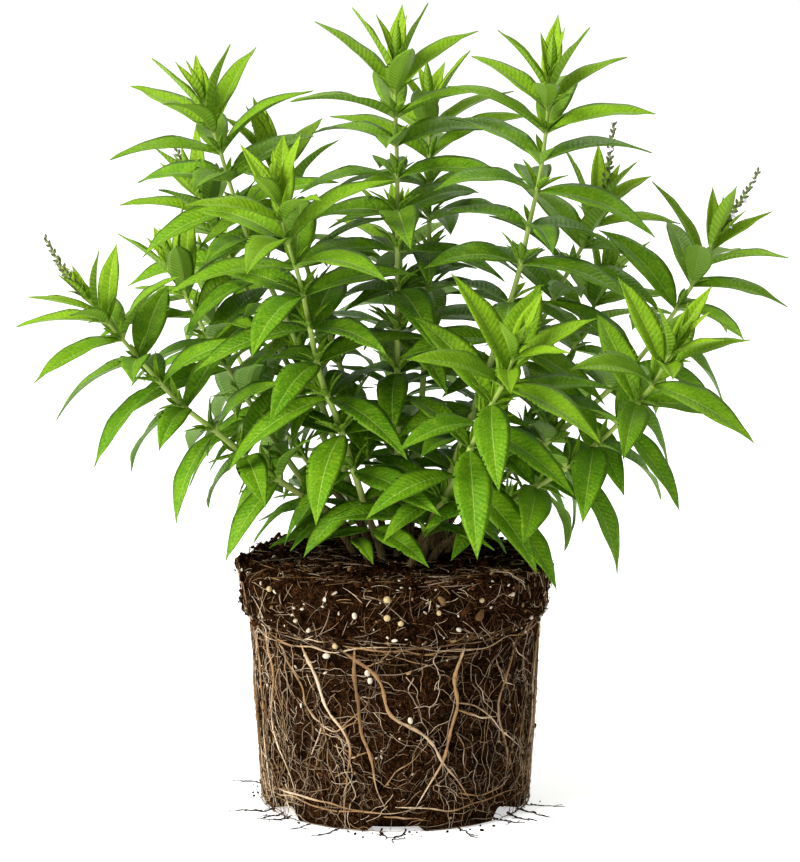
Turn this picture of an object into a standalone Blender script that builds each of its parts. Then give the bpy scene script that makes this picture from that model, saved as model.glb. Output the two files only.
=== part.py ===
"""Lemon verbena, lifted from its pot: a bare root ball that keeps the pot's shape, and its leafy stems.

The model is in metres, +Z up, with its origin at the middle of the root ball's flat base. Sizes below
are in millimetres and become metres when a mesh is built. -Y is the side that faces the viewer.

Pieces: the soil ball, the net of roots round it, and one node for each leafy stem. A stem stands in a
plain hole in the soil, and its leaves and flower buds are fused to it.
"""

import math
import random
from dataclasses import dataclass, field

import bmesh
import bpy
from mathutils import Matrix, Vector, noise
from mathutils.bvhtree import BVHTree

MM = 0.001
UP = Vector((0, 0, 1))
RIGHT = Vector((1, 0, 0))

# Root ball, as moulded by a 17 cm nursery pot
RIM_RADIUS = 82.5
RIM_FOOT_RADIUS = 80.2
BODY_TOP_RADIUS = 76.5
BODY_BASE_RADIUS = 71.0
SOIL_TOP = 130.0
STEP_TOP = 106.0
STEP_FOOT = 102.0
BASE_CHAMFER = 5.0
BASE_FLAT_RADIUS = 58.0
SOIL_STEPS = 30
SIDE_ROWS = 5
TOP_RINGS = (26.0, 50.0, 68.0)
TOP_LUMPS = 3.2
TOP_MOUND = 1.5
RIM_LUMPS = 1.6
SIDE_PITS = 0.6
COARSE_LUMP = 17.0
FINE_LUMP = 8.0
TOP_BAND = 6.0
RIM_BAND = 4.0
NOTCH_COUNT = 6
NOTCH_HALF_ANGLE = math.radians(13)
NOTCH_HEIGHT = 8.0
NOTCH_DEPTH = 2.5
MERGE_DISTANCE = 1e-5

# Holes in the soil for the stems
HOLE_FLOOR = 115.5
HOLE_CLEARANCE = 0.5
HOLE_SIDES = 6
STEM_FOOT = HOLE_FLOOR + 0.3
HOLE_CUTTER_LENGTH = 40.0

# Stems
BASE_STEM_RADIUS = 2.3
LOW_STEM_RADIUS = 1.9
TIP_STEM_RADIUS = 0.8
STEM_STRETCH = 27.0
COLLAR_STRETCH = 22.0
CURVE_SAMPLES = 240
SPLINE_STEPS = 24
TAPER_POWER = 1.6

# Leaves
LEAF_LENGTH = 63.0
LEAF_WIDTH_SHARE = 0.31
WIDEST_RISE = 0.85
WIDEST_FALL = 1.25
BLADE_THICKNESS = 1.1
STALK_HALF_WIDTH = 0.7
FULL_STALK_FROM = 34.0
FOOT_DEPTH = 0.45
LIGHT = Vector((-0.05, -0.62, 0.78))
# How far a blade turns its face from the stem to the sky: at the tip, and the whorl from which it does so fully
TIP_TURN = 0.35
FULL_TURN_WHORL = 4
SKYWARD = 0.6
EDGE_ON = 0.15
LEAST_ARCH = 6.0
WHORL = 3
# Where along the midrib a blade has a section, by its grade
LEAF_STATIONS = {"large": (0.27, 0.52, 0.78), "plain": (0.36, 0.7), "small": (0.42,)}
LARGE_FROM = 62.0
SMALL_UNDER = 27.0
PROXY_MARGIN = 1.3
WHOLE_FROM = 0.05
OUTER_FROM = 0.2
SPIKE_SPREAD = 4.5
SOIL_CLEAR_RADIUS = RIM_RADIUS + 2.5
SOIL_CLEAR_TOP = SOIL_TOP + 4.0
FLOOR_CLEAR = 30.0
OPEN_WHORLS = 2
LEAF_SEED = 1405

# Roots on the outside of the ball
RING_RADIUS = 0.9
ROOT_GAP = 0.4
UPPER_RING_Z = 99.0
LOWER_RING_Z = 13.0
RING_SEGMENTS = 32
RING_WAVE = 1.3
ROOT_STEP = 12.0
ROOT_SEED = 77


@dataclass
class Shoot:
    """One leafy stem: where it stands, the points it grows through, and how it carries its leaves."""

    name: str
    points: list
    nodes: int
    phase: float
    leaf: float = 1.0
    droop: float = 1.0
    spacing: float = 1.0
    fine: bool = True
    close: bool = False
    facing: float = 0.75
    spike: list = field(default_factory=list)


# The stems in the order that they claim their room. Points run from the soil to the tip.
SHOOTS = [
    Shoot("leafy_stem_front_right", [(9, -19, 134), (13, -21, 146), (23, -26, 165), (31, -34, 181), (39, -46, 200),
          (48, -63, 224), (55, -74, 239), (59, -83, 250), (62, -92, 262)], 8, 20, 1.03, close=True),
    Shoot("leafy_stem_front_left", [(-7, -13, 134), (-10, -13, 146), (-17, -15, 165), (-22, -18, 182), (-27, -22, 203),
          (-35, -27, 221), (-42, -34, 248), (-47, -42, 279), (-53, -48, 299), (-57, -54, 317), (-61, -60, 338)],
          11, 75, 1.06, close=True),
    Shoot("leafy_stem_right", [(20, -9, 134), (26, -10, 143), (42, -13, 155), (60, -17, 166), (77, -21, 176),
          (101, -31, 196), (122, -43, 219), (137, -56, 242), (145, -65, 260)], 10, 15, 1.0, close=True),
    Shoot("leafy_stem_left", [(-15, -7, 134), (-21, -7, 145), (-37, -8, 160), (-66, -10, 178), (-98, -14, 206),
          (-117, -17, 222), (-136, -22, 246), (-150, -26, 263), (-161, -29, 277)], 10, 40, 0.9, fine=False,
          spike=[(-168, -31, 286), (-174, -31, 295), (-181, -32, 308)]),
    Shoot("leafy_stem_upper_right", [(15, -4, 134), (18, -4, 148), (39, -7, 207), (57, -9, 261), (66, -10, 293),
          (71, -11, 319), (76, -12, 343), (79, -13, 371), (80, -14, 391)], 11, 30, 1.07),
    Shoot("leafy_stem_centre", [(1, 4, 134), (1, 5, 151), (1, 6, 199), (1, 7, 253), (1, 8, 306), (1, 9, 333),
          (0, 9, 363), (0, 10, 385), (0, 10, 396)], 11, 30, 1.05),
    Shoot("leafy_stem_upper_left", [(-14, 3, 134), (-18, 3, 149), (-36, 4, 205), (-55, 7, 253), (-75, 11, 295),
          (-87, 15, 329), (-96, 18, 360), (-101, 20, 374)], 11, 30, 1.03),
    Shoot("leafy_stem_far_right", [(28, 3, 134), (34, 4, 148), (62, 8, 178), (90, 11, 200), (116, 14, 222),
          (138, 19, 247), (155, 24, 271), (166, 27, 288), (171, 29, 300)], 10, 70, 0.95, fine=False,
          spike=[(176, 29, 309), (184, 28, 321), (191, 27, 334)]),
    Shoot("leafy_stem_mid_left", [(-22, -1, 134), (-30, 1, 146), (-62, 8, 190), (-92, 16, 236), (-110, 22, 266),
          (-118, 26, 284)], 7, 30, 0.98, fine=False),
    Shoot("leafy_stem_behind_centre", [(7, 17, 134), (9, 20, 148), (14, 31, 211), (17, 42, 263), (18, 52, 310),
          (18, 61, 352), (18, 64, 366)], 7, 15, 0.98, fine=False),
    Shoot("leafy_stem_back_left", [(-5, 14, 134), (-8, 16, 149), (-24, 24, 212), (-45, 35, 275), (-59, 44, 316),
          (-68, 50, 343)], 7, 13, 0.96, fine=False, spike=[(-73, 53, 352), (-76, 55, 362)]),
    Shoot("leafy_stem_back_right", [(20, 15, 134), (24, 18, 149), (56, 34, 210), (88, 54, 268), (104, 64, 296),
          (112, 70, 314)], 7, 100, 0.98, fine=False, spike=[(114, 72, 326), (115, 73, 338), (117, 74, 352)]),
    Shoot("leafy_stem_far_left", [(-14, 12, 134), (-20, 17, 150), (-48, 40, 209), (-78, 60, 262), (-97, 74, 296),
          (-108, 82, 318)], 7, 65, 0.98, fine=False, spike=[(-113, 85, 327), (-118, 88, 337)]),
    Shoot("leafy_stem_rear_left", [(-13, 24, 134), (-19, 29, 145), (-46, 58, 170), (-74, 88, 202), (-96, 110, 240),
          (-104, 118, 262)], 7, 45, 1.0, fine=False),
    Shoot("leafy_stem_rear_right", [(23, 25, 134), (29, 30, 146), (56, 58, 172), (84, 86, 206), (106, 108, 242),
          (114, 114, 264)], 7, 20, 1.0, fine=False),
    Shoot("leafy_stem_rear", [(4, 32, 134), (5, 36, 147), (5, 66, 184), (4, 96, 224), (3, 116, 264),
          (2, 124, 290)], 7, 35, 1.0, fine=False),
]

# Distance from the tip to the first whorl of leaves and on from whorl to whorl
WHORL_GAPS = (2.5, 7.0, 9.0, 12.0, 15.0, 17.0, 19.0, 20.0, 21.0, 22.0, 22.0, 22.0)
# Share of the full leaf length, angle from the stem and arch in degrees, whorl by whorl from the tip
WHORL_SIZE = (0.4, 0.66, 0.86, 1.0, 1.0, 1.0, 1.0, 1.0, 0.98, 0.95, 0.9, 0.85)
WHORL_ANGLE = (12, 26, 45, 56, 62, 67, 71, 75, 80, 85, 88, 90)
WHORL_ARCH = (7, 18, 32, 42, 46, 50, 52, 52, 52, 50, 50, 50)
WHORL_FOLD = (34, 28, 24, 20, 18, 16, 15, 14, 13, 12, 12, 12)
# Ways a leaf gives way to its neighbours: turn about the stem, angle from it, arch, and length share
GIVE_WAY = (
    (0, 0, 0, 1.0), (10, 4, 0, 1.0), (-10, 4, 0, 1.0), (0, -12, -6, 1.0), (0, 12, 8, 1.0), (18, -8, 0, 0.96),
    (-18, -8, 0, 0.96), (24, 10, 6, 0.95), (-24, 10, 6, 0.95), (0, -22, -14, 0.92), (0, 24, 12, 0.92),
    (30, -16, -8, 0.9), (-30, -16, -8, 0.9), (34, 4, 0, 0.82), (-34, 4, 0, 0.82), (12, -28, -20, 0.8),
    (-12, -28, -20, 0.8), (0, 0, 0, 0.72), (26, 0, 0, 0.66), (-26, 0, 0, 0.66), (0, -20, -20, 0.6),
)


@dataclass
class Leaf:
    """A folded, arched blade: its root, its own axes, its sizes in millimetres and its angles in radians."""

    root: Vector
    ahead: Vector
    face: Vector
    length: float
    arch: float
    fold: float
    sweep: float
    fine: bool
    close: bool

    @property
    def across(self):
        return self.ahead.cross(self.face)

    @property
    def stations(self):
        if self.length < SMALL_UNDER:
            return LEAF_STATIONS["small"]
        return LEAF_STATIONS["large" if self.close and self.length >= LARGE_FROM else "plain"]

    def spine(self, u):
        """Point, tangent and normal of the midrib a share u of the way to the tip. The midrib is an arc."""
        turn = self.arch * u
        run = self.length * math.sin(turn) / self.arch
        sink = self.length * (1 - math.cos(turn)) / self.arch
        sideways = self.sweep * self.length * u * u
        point = self.root + self.ahead * run - self.face * sink + self.across * sideways
        tangent = self.ahead * math.cos(turn) - self.face * math.sin(turn)
        normal = self.face * math.cos(turn) + self.ahead * math.sin(turn)
        return point, tangent, normal

    def half_width(self, u):
        """Half the blade's width: a lance shape, with a narrow stalk at its foot."""
        widest = WIDEST_RISE / (WIDEST_RISE + WIDEST_FALL)
        peak = widest**WIDEST_RISE * (1 - widest) ** WIDEST_FALL
        share = max(u, 0.0) ** WIDEST_RISE * max(1 - u, 0.0) ** WIDEST_FALL / peak
        return max(0.5 * self.length * LEAF_WIDTH_SHARE * share, STALK_HALF_WIDTH * (1 - u))


def spline(points, samples=CURVE_SAMPLES):
    """Points evenly along a Catmull-Rom curve through the given ones, and the step between them."""
    given = [Vector(p) for p in points]
    ends = [given[0] * 2 - given[1], *given, given[-1] * 2 - given[-2]]
    dense = []
    for a, b, c, d in zip(ends, ends[1:], ends[2:], ends[3:]):
        for k in range(SPLINE_STEPS):
            t = k / SPLINE_STEPS
            dense.append(
                0.5 * (2 * b + (c - a) * t + (2 * a - 5 * b + 4 * c - d) * t * t + (3 * b - a - 3 * c + d) * t**3)
            )
    dense.append(given[-1])
    return resample(dense, samples)


def resample(line, count):
    """The line again, as count + 1 points at even distances, and its length."""
    marks = [0.0]
    for a, b in zip(line, line[1:]):
        marks.append(marks[-1] + (b - a).length)
    total = marks[-1]
    found, span = [], 0
    for k in range(count + 1):
        goal = total * k / count
        while span < len(line) - 2 and marks[span + 1] < goal:
            span += 1
        share = (goal - marks[span]) / max(marks[span + 1] - marks[span], 1e-9)
        found.append(line[span].lerp(line[span + 1], min(share, 1.0)))
    return found, total


def stem_rows(shoot):
    """Where the stem's tube has a section, from the foot of its hole to its tip."""
    start = Vector(shoot.points[0])
    curve, reach = spline(shoot.points, CURVE_SAMPLES)
    count = max(5, round(reach / STEM_STRETCH))
    above = [frame_at(curve, k / count * (CURVE_SAMPLES - 0.001))[0] for k in range(1, count + 1)]
    return [Vector((start.x, start.y, STEM_FOOT)), start, *above]


def stem_line(shoot):
    """Points evenly along the stem's tube, and the tube's length."""
    return resample(stem_rows(shoot), CURVE_SAMPLES)


def stem_radius(share, height):
    """The stem's radius: a collar at the soil, then an even taper to the tip."""
    taper = LOW_STEM_RADIUS + (TIP_STEM_RADIUS - LOW_STEM_RADIUS) * share**TAPER_POWER
    collar = max(0.0, 1 - max(0.0, height - SOIL_TOP) / COLLAR_STRETCH)
    return taper + (BASE_STEM_RADIUS - LOW_STEM_RADIUS) * collar


def frame_at(line, at):
    """Point and direction of the stem at a fractional sample number."""
    low = min(int(at), len(line) - 2)
    point = line[low].lerp(line[low + 1], at - low)
    return point, (line[low + 1] - line[low]).normalized()


def turned(vector, axis, angle):
    return Matrix.Rotation(angle, 3, axis) @ vector


def candidate(shoot, point, stem, radius, whorl, azimuth, way, draws):
    """One leaf at a node of the stem, with its foot inside the stem and its angles shifted by way."""
    turn, tilt, arch, share = way
    side = (RIGHT - stem * RIGHT.dot(stem)).normalized()
    outward = turned(side, stem, math.radians(azimuth + turn + draws[0]))
    angle = math.radians(WHORL_ANGLE[whorl] * shoot.droop + tilt + draws[1])
    ahead = (stem * math.cos(angle) + outward * math.sin(angle)).normalized()
    turned_out = TIP_TURN + (1 - TIP_TURN) * min(1.0, whorl / FULL_TURN_WHORL)
    lift = stem * (1 - SKYWARD * turned_out) + UP * (SKYWARD * turned_out)
    lift += LIGHT * (shoot.facing * turned_out)
    face = lift - ahead * lift.dot(ahead)
    if face.length < EDGE_ON:
        face = -outward - ahead * (-outward).dot(ahead)
    face.normalize()
    face = turned(face, ahead, math.radians(draws[2]))
    return Leaf(
        root=point + outward * (FOOT_DEPTH * radius),
        ahead=ahead,
        face=face,
        length=LEAF_LENGTH * shoot.leaf * WHORL_SIZE[whorl] * share * draws[3],
        arch=math.radians(max(LEAST_ARCH, WHORL_ARCH[whorl] + arch + draws[4])),
        fold=math.radians(WHORL_FOLD[whorl]),
        sweep=draws[5],
        fine=shoot.fine,
        close=shoot.close,
    )


def proxy(leaf, start):
    """A fatter stand-in for the blade beyond a share of its length, as a tree to test against, with its box."""
    points = []
    stations = (start, *leaf.stations, 1.0)
    for u in stations:
        point, tangent, normal = leaf.spine(u)
        half = leaf.half_width(u) + PROXY_MARGIN
        point = point + tangent * (PROXY_MARGIN * (u == 1.0))
        lean = leaf.across * (half * math.cos(leaf.fold))
        rise = normal * (half * math.sin(leaf.fold))
        deep = normal * (BLADE_THICKNESS + PROXY_MARGIN)
        points += [point - lean + rise, point + normal * PROXY_MARGIN, point + lean + rise, point - deep]
    faces = []
    last = len(stations) - 1
    for k in range(last):
        for a in range(4):
            b = (a + 1) % 4
            faces.append((4 * k + a, 4 * k + b, 4 * k + 4 + b, 4 * k + 4 + a))
    faces += [(3, 2, 1, 0), (4 * last, 4 * last + 1, 4 * last + 2, 4 * last + 3)]
    return boxed(points, faces)


def boxed(points, faces):
    low = [min(p[k] for p in points) for k in range(3)]
    high = [max(p[k] for p in points) for k in range(3)]
    return {"tree": BVHTree.FromPolygons(points, faces), "low": low, "high": high, "points": points}


def tube_proxy(rows, radii):
    """A fatter stand-in for a stem or a spike."""
    points, faces = [], []
    sides = 6
    for k, (centre, radius) in enumerate(zip(rows, radii)):
        ahead = (rows[min(k + 1, len(rows) - 1)] - rows[max(k - 1, 0)]).normalized()
        side = (RIGHT - ahead * RIGHT.dot(ahead)).normalized()
        other = ahead.cross(side)
        for s in range(sides):
            angle = 2 * math.pi * s / sides
            points.append(centre + side * (radius * math.cos(angle)) + other * (radius * math.sin(angle)))
        if k:
            for s in range(sides):
                t = (s + 1) % sides
                faces.append((sides * (k - 1) + s, sides * (k - 1) + t, sides * k + t, sides * k + s))
    return boxed(points, faces)


def stem_proxies(shoot, line):
    """Stand-ins for a stem and for its spike, if it has one."""
    rows = line[::8]
    made = [tube_proxy(rows, [stem_radius(k / (len(rows) - 1), row.z) + PROXY_MARGIN for k, row in enumerate(rows)])]
    if shoot.spike:
        spike, _ = spline([line[-1], *shoot.spike], 8)
        made.append(tube_proxy(spike, [SPIKE_SPREAD] * len(spike)))
    return made


def clear_of(mine, others):
    """True if the proxy mine meets none of the others."""
    for other in others:
        if any(mine["low"][k] > other["high"][k] or other["low"][k] > mine["high"][k] for k in range(3)):
            continue
        if mine["tree"].overlap(other["tree"]):
            return False
    return True


def clear_of_soil(mine):
    """True if the proxy keeps out of the root ball and well above the floor."""
    for p in mine["points"]:
        if p.z < FLOOR_CLEAR or (p.z < SOIL_CLEAR_TOP and math.hypot(p.x, p.y) < SOIL_CLEAR_RADIUS):
            return False
    return True


def plan_leaves():
    """{stem name: its leaves}. Each leaf takes the first way in GIVE_WAY that is clear of all before it."""
    rng = random.Random(LEAF_SEED)
    lines = {shoot.name: stem_line(shoot) for shoot in SHOOTS}
    stems = {shoot.name: stem_proxies(shoot, lines[shoot.name][0]) for shoot in SHOOTS}
    taken = {shoot.name: [] for shoot in SHOOTS}
    plan = {}
    for shoot in SHOOTS:
        line, total = lines[shoot.name]
        others = [p for n in stems if n != shoot.name for p in stems[n] + taken[n]]
        leaves, own = [], []
        back = 0.0
        for whorl in range(shoot.nodes):
            back += WHORL_GAPS[whorl] * shoot.spacing
            at = (1 - back / total) * (len(line) - 1)
            point, stem = frame_at(line, at)
            radius = stem_radius(1 - back / total, point.z)
            for k in range(WHORL):
                azimuth = shoot.phase + 60 * whorl + 360 * k / WHORL
                draws = (
                    rng.uniform(-9, 9), rng.uniform(-7, 7), rng.uniform(-14, 14), rng.uniform(0.9, 1.08),
                    rng.uniform(-9, 9), rng.uniform(-0.07, 0.07),
                )
                for way in GIVE_WAY:
                    leaf = candidate(shoot, point, stem, radius, whorl, azimuth, way, draws)
                    whole, outer = proxy(leaf, WHOLE_FROM), proxy(leaf, OUTER_FROM)
                    crowded = whorl > OPEN_WHORLS and not clear_of(outer, own)
                    if not crowded and clear_of_soil(outer) and clear_of(whole, others):
                        leaves.append(leaf)
                        own.append(outer)
                        taken[shoot.name].append(whole)
                        break
        plan[shoot.name] = leaves
    return plan


def collection(name):
    """A new collection in the scene."""
    made = bpy.data.collections.new(name)
    bpy.context.scene.collection.children.link(made)
    return made


def material(name, colour, roughness):
    """A plain Principled material. colour is linear."""
    made = bpy.data.materials.new(name)
    made.use_nodes = True
    shader = made.node_tree.nodes["Principled BSDF"]
    shader.inputs["Base Color"].default_value = (*colour, 1)
    shader.inputs["Roughness"].default_value = roughness
    made.diffuse_color = (*colour, 1)
    return made


def mesh_object(name, points, faces, home):
    """An object from points in millimetres."""
    mesh = bpy.data.meshes.new(name)
    mesh.from_pydata([tuple(p * MM for p in point) for point in points], [], faces)
    mesh.update()
    made = bpy.data.objects.new(name, mesh)
    home.objects.link(made)
    return made


def tube(name, points, radii, home, resolution=1):
    """A closed tube along the points, as a mesh: a curve with a bevel and filled caps."""
    curve = bpy.data.curves.new(name, "CURVE")
    curve.dimensions = "3D"
    curve.bevel_depth = MM
    curve.bevel_resolution = resolution
    curve.use_fill_caps = True
    path = curve.splines.new("POLY")
    path.points.add(len(points) - 1)
    for knot, point, radius in zip(path.points, points, radii):
        knot.co = (point[0] * MM, point[1] * MM, point[2] * MM, 1)
        knot.radius = radius
    drawn = bpy.data.objects.new(name, curve)
    home.objects.link(drawn)
    return as_mesh(drawn, home)


def as_mesh(drawn, home):
    """The evaluated object as a welded mesh object. The old one is removed."""
    bpy.context.view_layer.update()
    graph = bpy.context.evaluated_depsgraph_get()
    mesh = bpy.data.meshes.new_from_object(drawn.evaluated_get(graph))
    weld(mesh)
    name = drawn.name
    place = drawn.matrix_world.copy()
    bpy.data.objects.remove(drawn)
    made = bpy.data.objects.new(name, mesh)
    made.matrix_world = place
    home.objects.link(made)
    return made


def weld(mesh):
    work = bmesh.new()
    work.from_mesh(mesh)
    bmesh.ops.remove_doubles(work, verts=work.verts, dist=1e-6)
    work.to_mesh(mesh)
    work.free()


def unite(body, pieces):
    """Joins a collection of pieces into the body with one Boolean union, then removes the collection.

    The corners that the union makes, where one surface runs into another, go into a vertex group. Returns
    how many pieces there were.
    """
    known = {spot(v.co) for made in (body, *pieces.objects) for v in made.data.vertices}
    count = len(pieces.objects)
    join = body.modifiers.new("join", "BOOLEAN")
    join.operation = "UNION"
    join.operand_type = "COLLECTION"
    join.collection = pieces
    join.solver = "MANIFOLD"
    bpy.context.view_layer.update()
    graph = bpy.context.evaluated_depsgraph_get()
    mesh = bpy.data.meshes.new_from_object(body.evaluated_get(graph))
    body.modifiers.clear()
    keep_outer(mesh)
    body.data = mesh
    for piece in list(pieces.objects):
        bpy.data.objects.remove(piece)
    bpy.data.collections.remove(pieces)
    seam = body.vertex_groups.new(name=SEAM)
    seam.add([v.index for v in mesh.vertices if spot(v.co) not in known], 1.0, "REPLACE")
    return count


def keep_outer(mesh):
    """Keeps the largest shell of a fused body and drops the small hollows that the union closes off inside."""
    work = bmesh.new()
    work.from_mesh(mesh)
    left, shells = set(work.verts), []
    while left:
        shell, edge_of = set(), [left.pop()]
        while edge_of:
            here = edge_of.pop()
            shell.add(here)
            beyond = {e.other_vert(here) for e in here.link_edges} & left
            left -= beyond
            edge_of += beyond
        shells.append(shell)
    shells.sort(key=len)
    bmesh.ops.delete(work, geom=[v for shell in shells[:-1] for v in shell], context="VERTS")
    work.to_mesh(mesh)
    work.free()


def spot(point):
    """A point rounded to a micrometre, to look it up by."""
    return tuple(round(c / MM, 3) for c in point)


# Corners that the seam round each fused piece keeps, and how far a bad spot keeps the thinning away
SEAM_CORNERS = 5.0
ROOT_CORNERS = 6.0
KEEP_STEP = 0.04
THIN_TRIES = 8
SPOT_REACH = 3.0
STRAY_LIMIT = 2.6
SEAM = "seam"
SEAM_WEIGHT = 10.0


def bad_spots(mesh):
    """Where faces that share no corner cross each other, and where the mesh is open, in millimetres."""
    work = bmesh.new()
    work.from_mesh(mesh)
    bmesh.ops.triangulate(work, faces=work.faces)
    bmesh.ops.scale(work, vec=(1 / MM, 1 / MM, 1 / MM), verts=work.verts)
    work.faces.ensure_lookup_table()
    corners = [{v.index for v in face.verts} for face in work.faces]
    tree = BVHTree.FromBMesh(work, epsilon=0)
    crossed = {k for pair in tree.overlap(tree) if not corners[pair[0]] & corners[pair[1]] for k in pair}
    found = [v.co.copy() for k in crossed for v in work.faces[k].verts]
    found += [v.co.copy() for edge in work.edges if len(edge.link_faces) != 2 for v in edge.verts]
    work.free()
    return found


def strayed(before, after):
    """Corners of the thinned faces whose middle or sides have left the surface before them, in millimetres."""
    work = bmesh.new()
    work.from_mesh(before)
    tree = BVHTree.FromBMesh(work, epsilon=0)
    work.free()
    found = []
    for face in after.polygons:
        corners = [after.vertices[k].co for k in face.vertices]
        middles = [(a + b) / 2 for a, b in zip(corners, corners[1:] + corners[:1])]
        if any(tree.find_nearest(p)[3] > STRAY_LIMIT * MM for p in (face.center, *middles)):
            found += [c / MM for c in corners]
    return found


def thin(body, pieces, corners):
    """Thins the seams that the union leaves round each piece, and leaves alone what would turn out unsound."""
    seam = body.vertex_groups[SEAM]
    faces = sum(len(face.vertices) - 2 for face in body.data.polygons)
    surplus = sum(1 for v in body.data.vertices if v.groups) - corners * pieces
    share = 1 - 2 * max(0.0, surplus) / faces
    for attempt in range(THIN_TRIES):
        fewer = body.modifiers.new("thin", "DECIMATE")
        fewer.ratio = share
        fewer.vertex_group = SEAM
        fewer.vertex_group_factor = SEAM_WEIGHT
        bpy.context.view_layer.update()
        graph = bpy.context.evaluated_depsgraph_get()
        mesh = bpy.data.meshes.new_from_object(body.evaluated_get(graph))
        body.modifiers.clear()
        spots = bad_spots(mesh) + strayed(body.data, mesh)
        if not spots:
            body.data = mesh
            return
        near = [v.index for v in body.data.vertices if any((v.co / MM - s).length < SPOT_REACH for s in spots)]
        seam.remove(near)
        if attempt > THIN_TRIES // 2:
            share += KEEP_STEP


def leaf_object(name, leaf, home):
    """A blade: a three-sided foot sunk in the stem, then thin folded sections that run out to a point.

    A blade towards the viewer has a furrow along its upper side, and one at the back is flat there.
    """
    stalk = STALK_HALF_WIDTH * min(1.0, leaf.length / FULL_STALK_FROM)
    side, top = leaf.across * stalk, leaf.face * (0.4 * stalk)
    rows = [[leaf.root - side + top, leaf.root + side + top, leaf.root - leaf.face * (1.1 * stalk)]]
    for u in leaf.stations:
        point, _, normal = leaf.spine(u)
        half = leaf.half_width(u)
        lean = leaf.across * (half * math.cos(leaf.fold))
        rise = normal * (half * math.sin(leaf.fold))
        row = [point - lean + rise, point + lean + rise, point - normal * BLADE_THICKNESS]
        if leaf.fine:
            row.append(point)
        rows.append(row)
    points = [point for row in rows for point in row] + [leaf.spine(1.0)[0]]
    faces, start = [(0, 1, 2)], 0
    for row, after in zip(rows, rows[1:]):
        faces += bridge(start, len(row), start + len(row), len(after))
        start += len(row)
    ring = (0, 3, 1, 2) if len(rows[-1]) == 4 else (0, 1, 2)
    faces += [(start + a, start + b, len(points) - 1) for a, b in zip(ring, ring[1:] + ring[:1])]
    made = mesh_object(name, points, faces, home)
    outward(made.data)
    return made


def bridge(a, a_count, b, b_count):
    """Faces between two sections: left edge, right edge, keel, and the furrow if there is one."""
    faces = []
    if b_count == 3:
        faces += [(a, b, a + 1), (a + 1, b, b + 1)]
    elif a_count == 3:
        faces += [(a, b + 3, a + 1), (a, b, b + 3), (a + 1, b + 3, b + 1)]
    else:
        faces += [(a, b, a + 3), (b, b + 3, a + 3), (a + 3, b + 3, a + 1), (b + 3, b + 1, a + 1)]
    faces += [(a + 1, b + 1, a + 2), (a + 2, b + 1, b + 2), (a, a + 2, b), (b, a + 2, b + 2)]
    return faces


def outward(mesh):
    """Turns the faces of one closed body outwards."""
    work = bmesh.new()
    work.from_mesh(mesh)
    bmesh.ops.recalc_face_normals(work, faces=work.faces)
    work.to_mesh(mesh)
    work.free()


# Flower spikes: small buds on a thin stalk
SPIKE_RADIUS = 0.65
BUD_LENGTH = 5.4
BUD_RADIUS = 1.15
BUD_GAP = 4.4
GOLDEN_TURN = math.radians(137.5)
BUD_ANGLE = math.radians(48)
BUD_START = 4.0
BUD_END = 1.0


def spike_pieces(shoot, tip, home):
    """The spike's stalk and its buds, which get shorter towards the end."""
    line, total = spline([tip, *shoot.spike], 40)
    tube("spike", line[::20], [SPIKE_RADIUS] * 3, home, resolution=0)
    count = int((total - BUD_START) / BUD_GAP)
    for k in range(count + 1):
        share = k / count
        point, stalk = frame_at(line[::20], (BUD_START + (total - BUD_START - BUD_END) * share) / total * 1.99)
        side = turned((RIGHT - stalk * RIGHT.dot(stalk)).normalized(), stalk, k * GOLDEN_TURN)
        angle = BUD_ANGLE * (1 - 0.5 * share)
        ahead = stalk * math.cos(angle) + side * math.sin(angle)
        bud("bud", point, ahead, BUD_LENGTH * (1 - 0.3 * share), BUD_RADIUS * (1 - 0.2 * share), home)


def bud(name, point, ahead, length, radius, home):
    """A spindle with eight faces whose foot is sunk in the stalk."""
    mesh = bpy.data.meshes.new(name)
    work = bmesh.new()
    bmesh.ops.create_uvsphere(work, u_segments=4, v_segments=2, radius=1.0)
    turn = ahead.to_track_quat("Z", "Y").to_matrix().to_4x4()
    place = Matrix.Translation(point * MM) @ turn
    place = place @ Matrix.Diagonal((radius * MM, radius * MM, length * MM / 2, 1)) @ Matrix.Translation((0, 0, 0.8))
    bmesh.ops.transform(work, matrix=place, verts=work.verts)
    work.to_mesh(mesh)
    work.free()
    made = bpy.data.objects.new(name, mesh)
    home.objects.link(made)


def build_shoot(shoot, leaves, home, finish):
    """One leafy stem: its tube, its leaves and its buds as one body."""
    rows = stem_rows(shoot)
    marks = [0.0]
    for here, there in zip(rows, rows[1:]):
        marks.append(marks[-1] + (there - here).length)
    radii = [stem_radius(mark / marks[-1], row.z) for mark, row in zip(marks, rows)]
    body = tube(shoot.name, rows, radii, home)
    pieces = collection(shoot.name + "_pieces")
    for leaf in leaves:
        leaf_object("leaf", leaf, pieces)
    if shoot.spike:
        spike_pieces(shoot, rows[-1] + (rows[-2] - rows[-1]).normalized(), pieces)
    thin(body, unite(body, pieces), SEAM_CORNERS)
    body.data.materials.clear()
    body.data.materials.append(finish)
    return body


def ball_radius(z):
    """The pot's inner radius at a height: a tapered body and the wider band under the rim."""
    if z >= STEP_TOP:
        share = (z - STEP_TOP) / (SOIL_TOP - STEP_TOP)
        return RIM_FOOT_RADIUS + (RIM_RADIUS - RIM_FOOT_RADIUS) * min(share, 1.0)
    if z >= STEP_FOOT:
        share = (z - STEP_FOOT) / (STEP_TOP - STEP_FOOT)
        return BODY_TOP_RADIUS + (RIM_FOOT_RADIUS - BODY_TOP_RADIUS) * share
    share = (z - BASE_CHAMFER) / (STEP_FOOT - BASE_CHAMFER)
    return BODY_BASE_RADIUS + (BODY_TOP_RADIUS - BODY_BASE_RADIUS) * max(share, 0.0)


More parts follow.
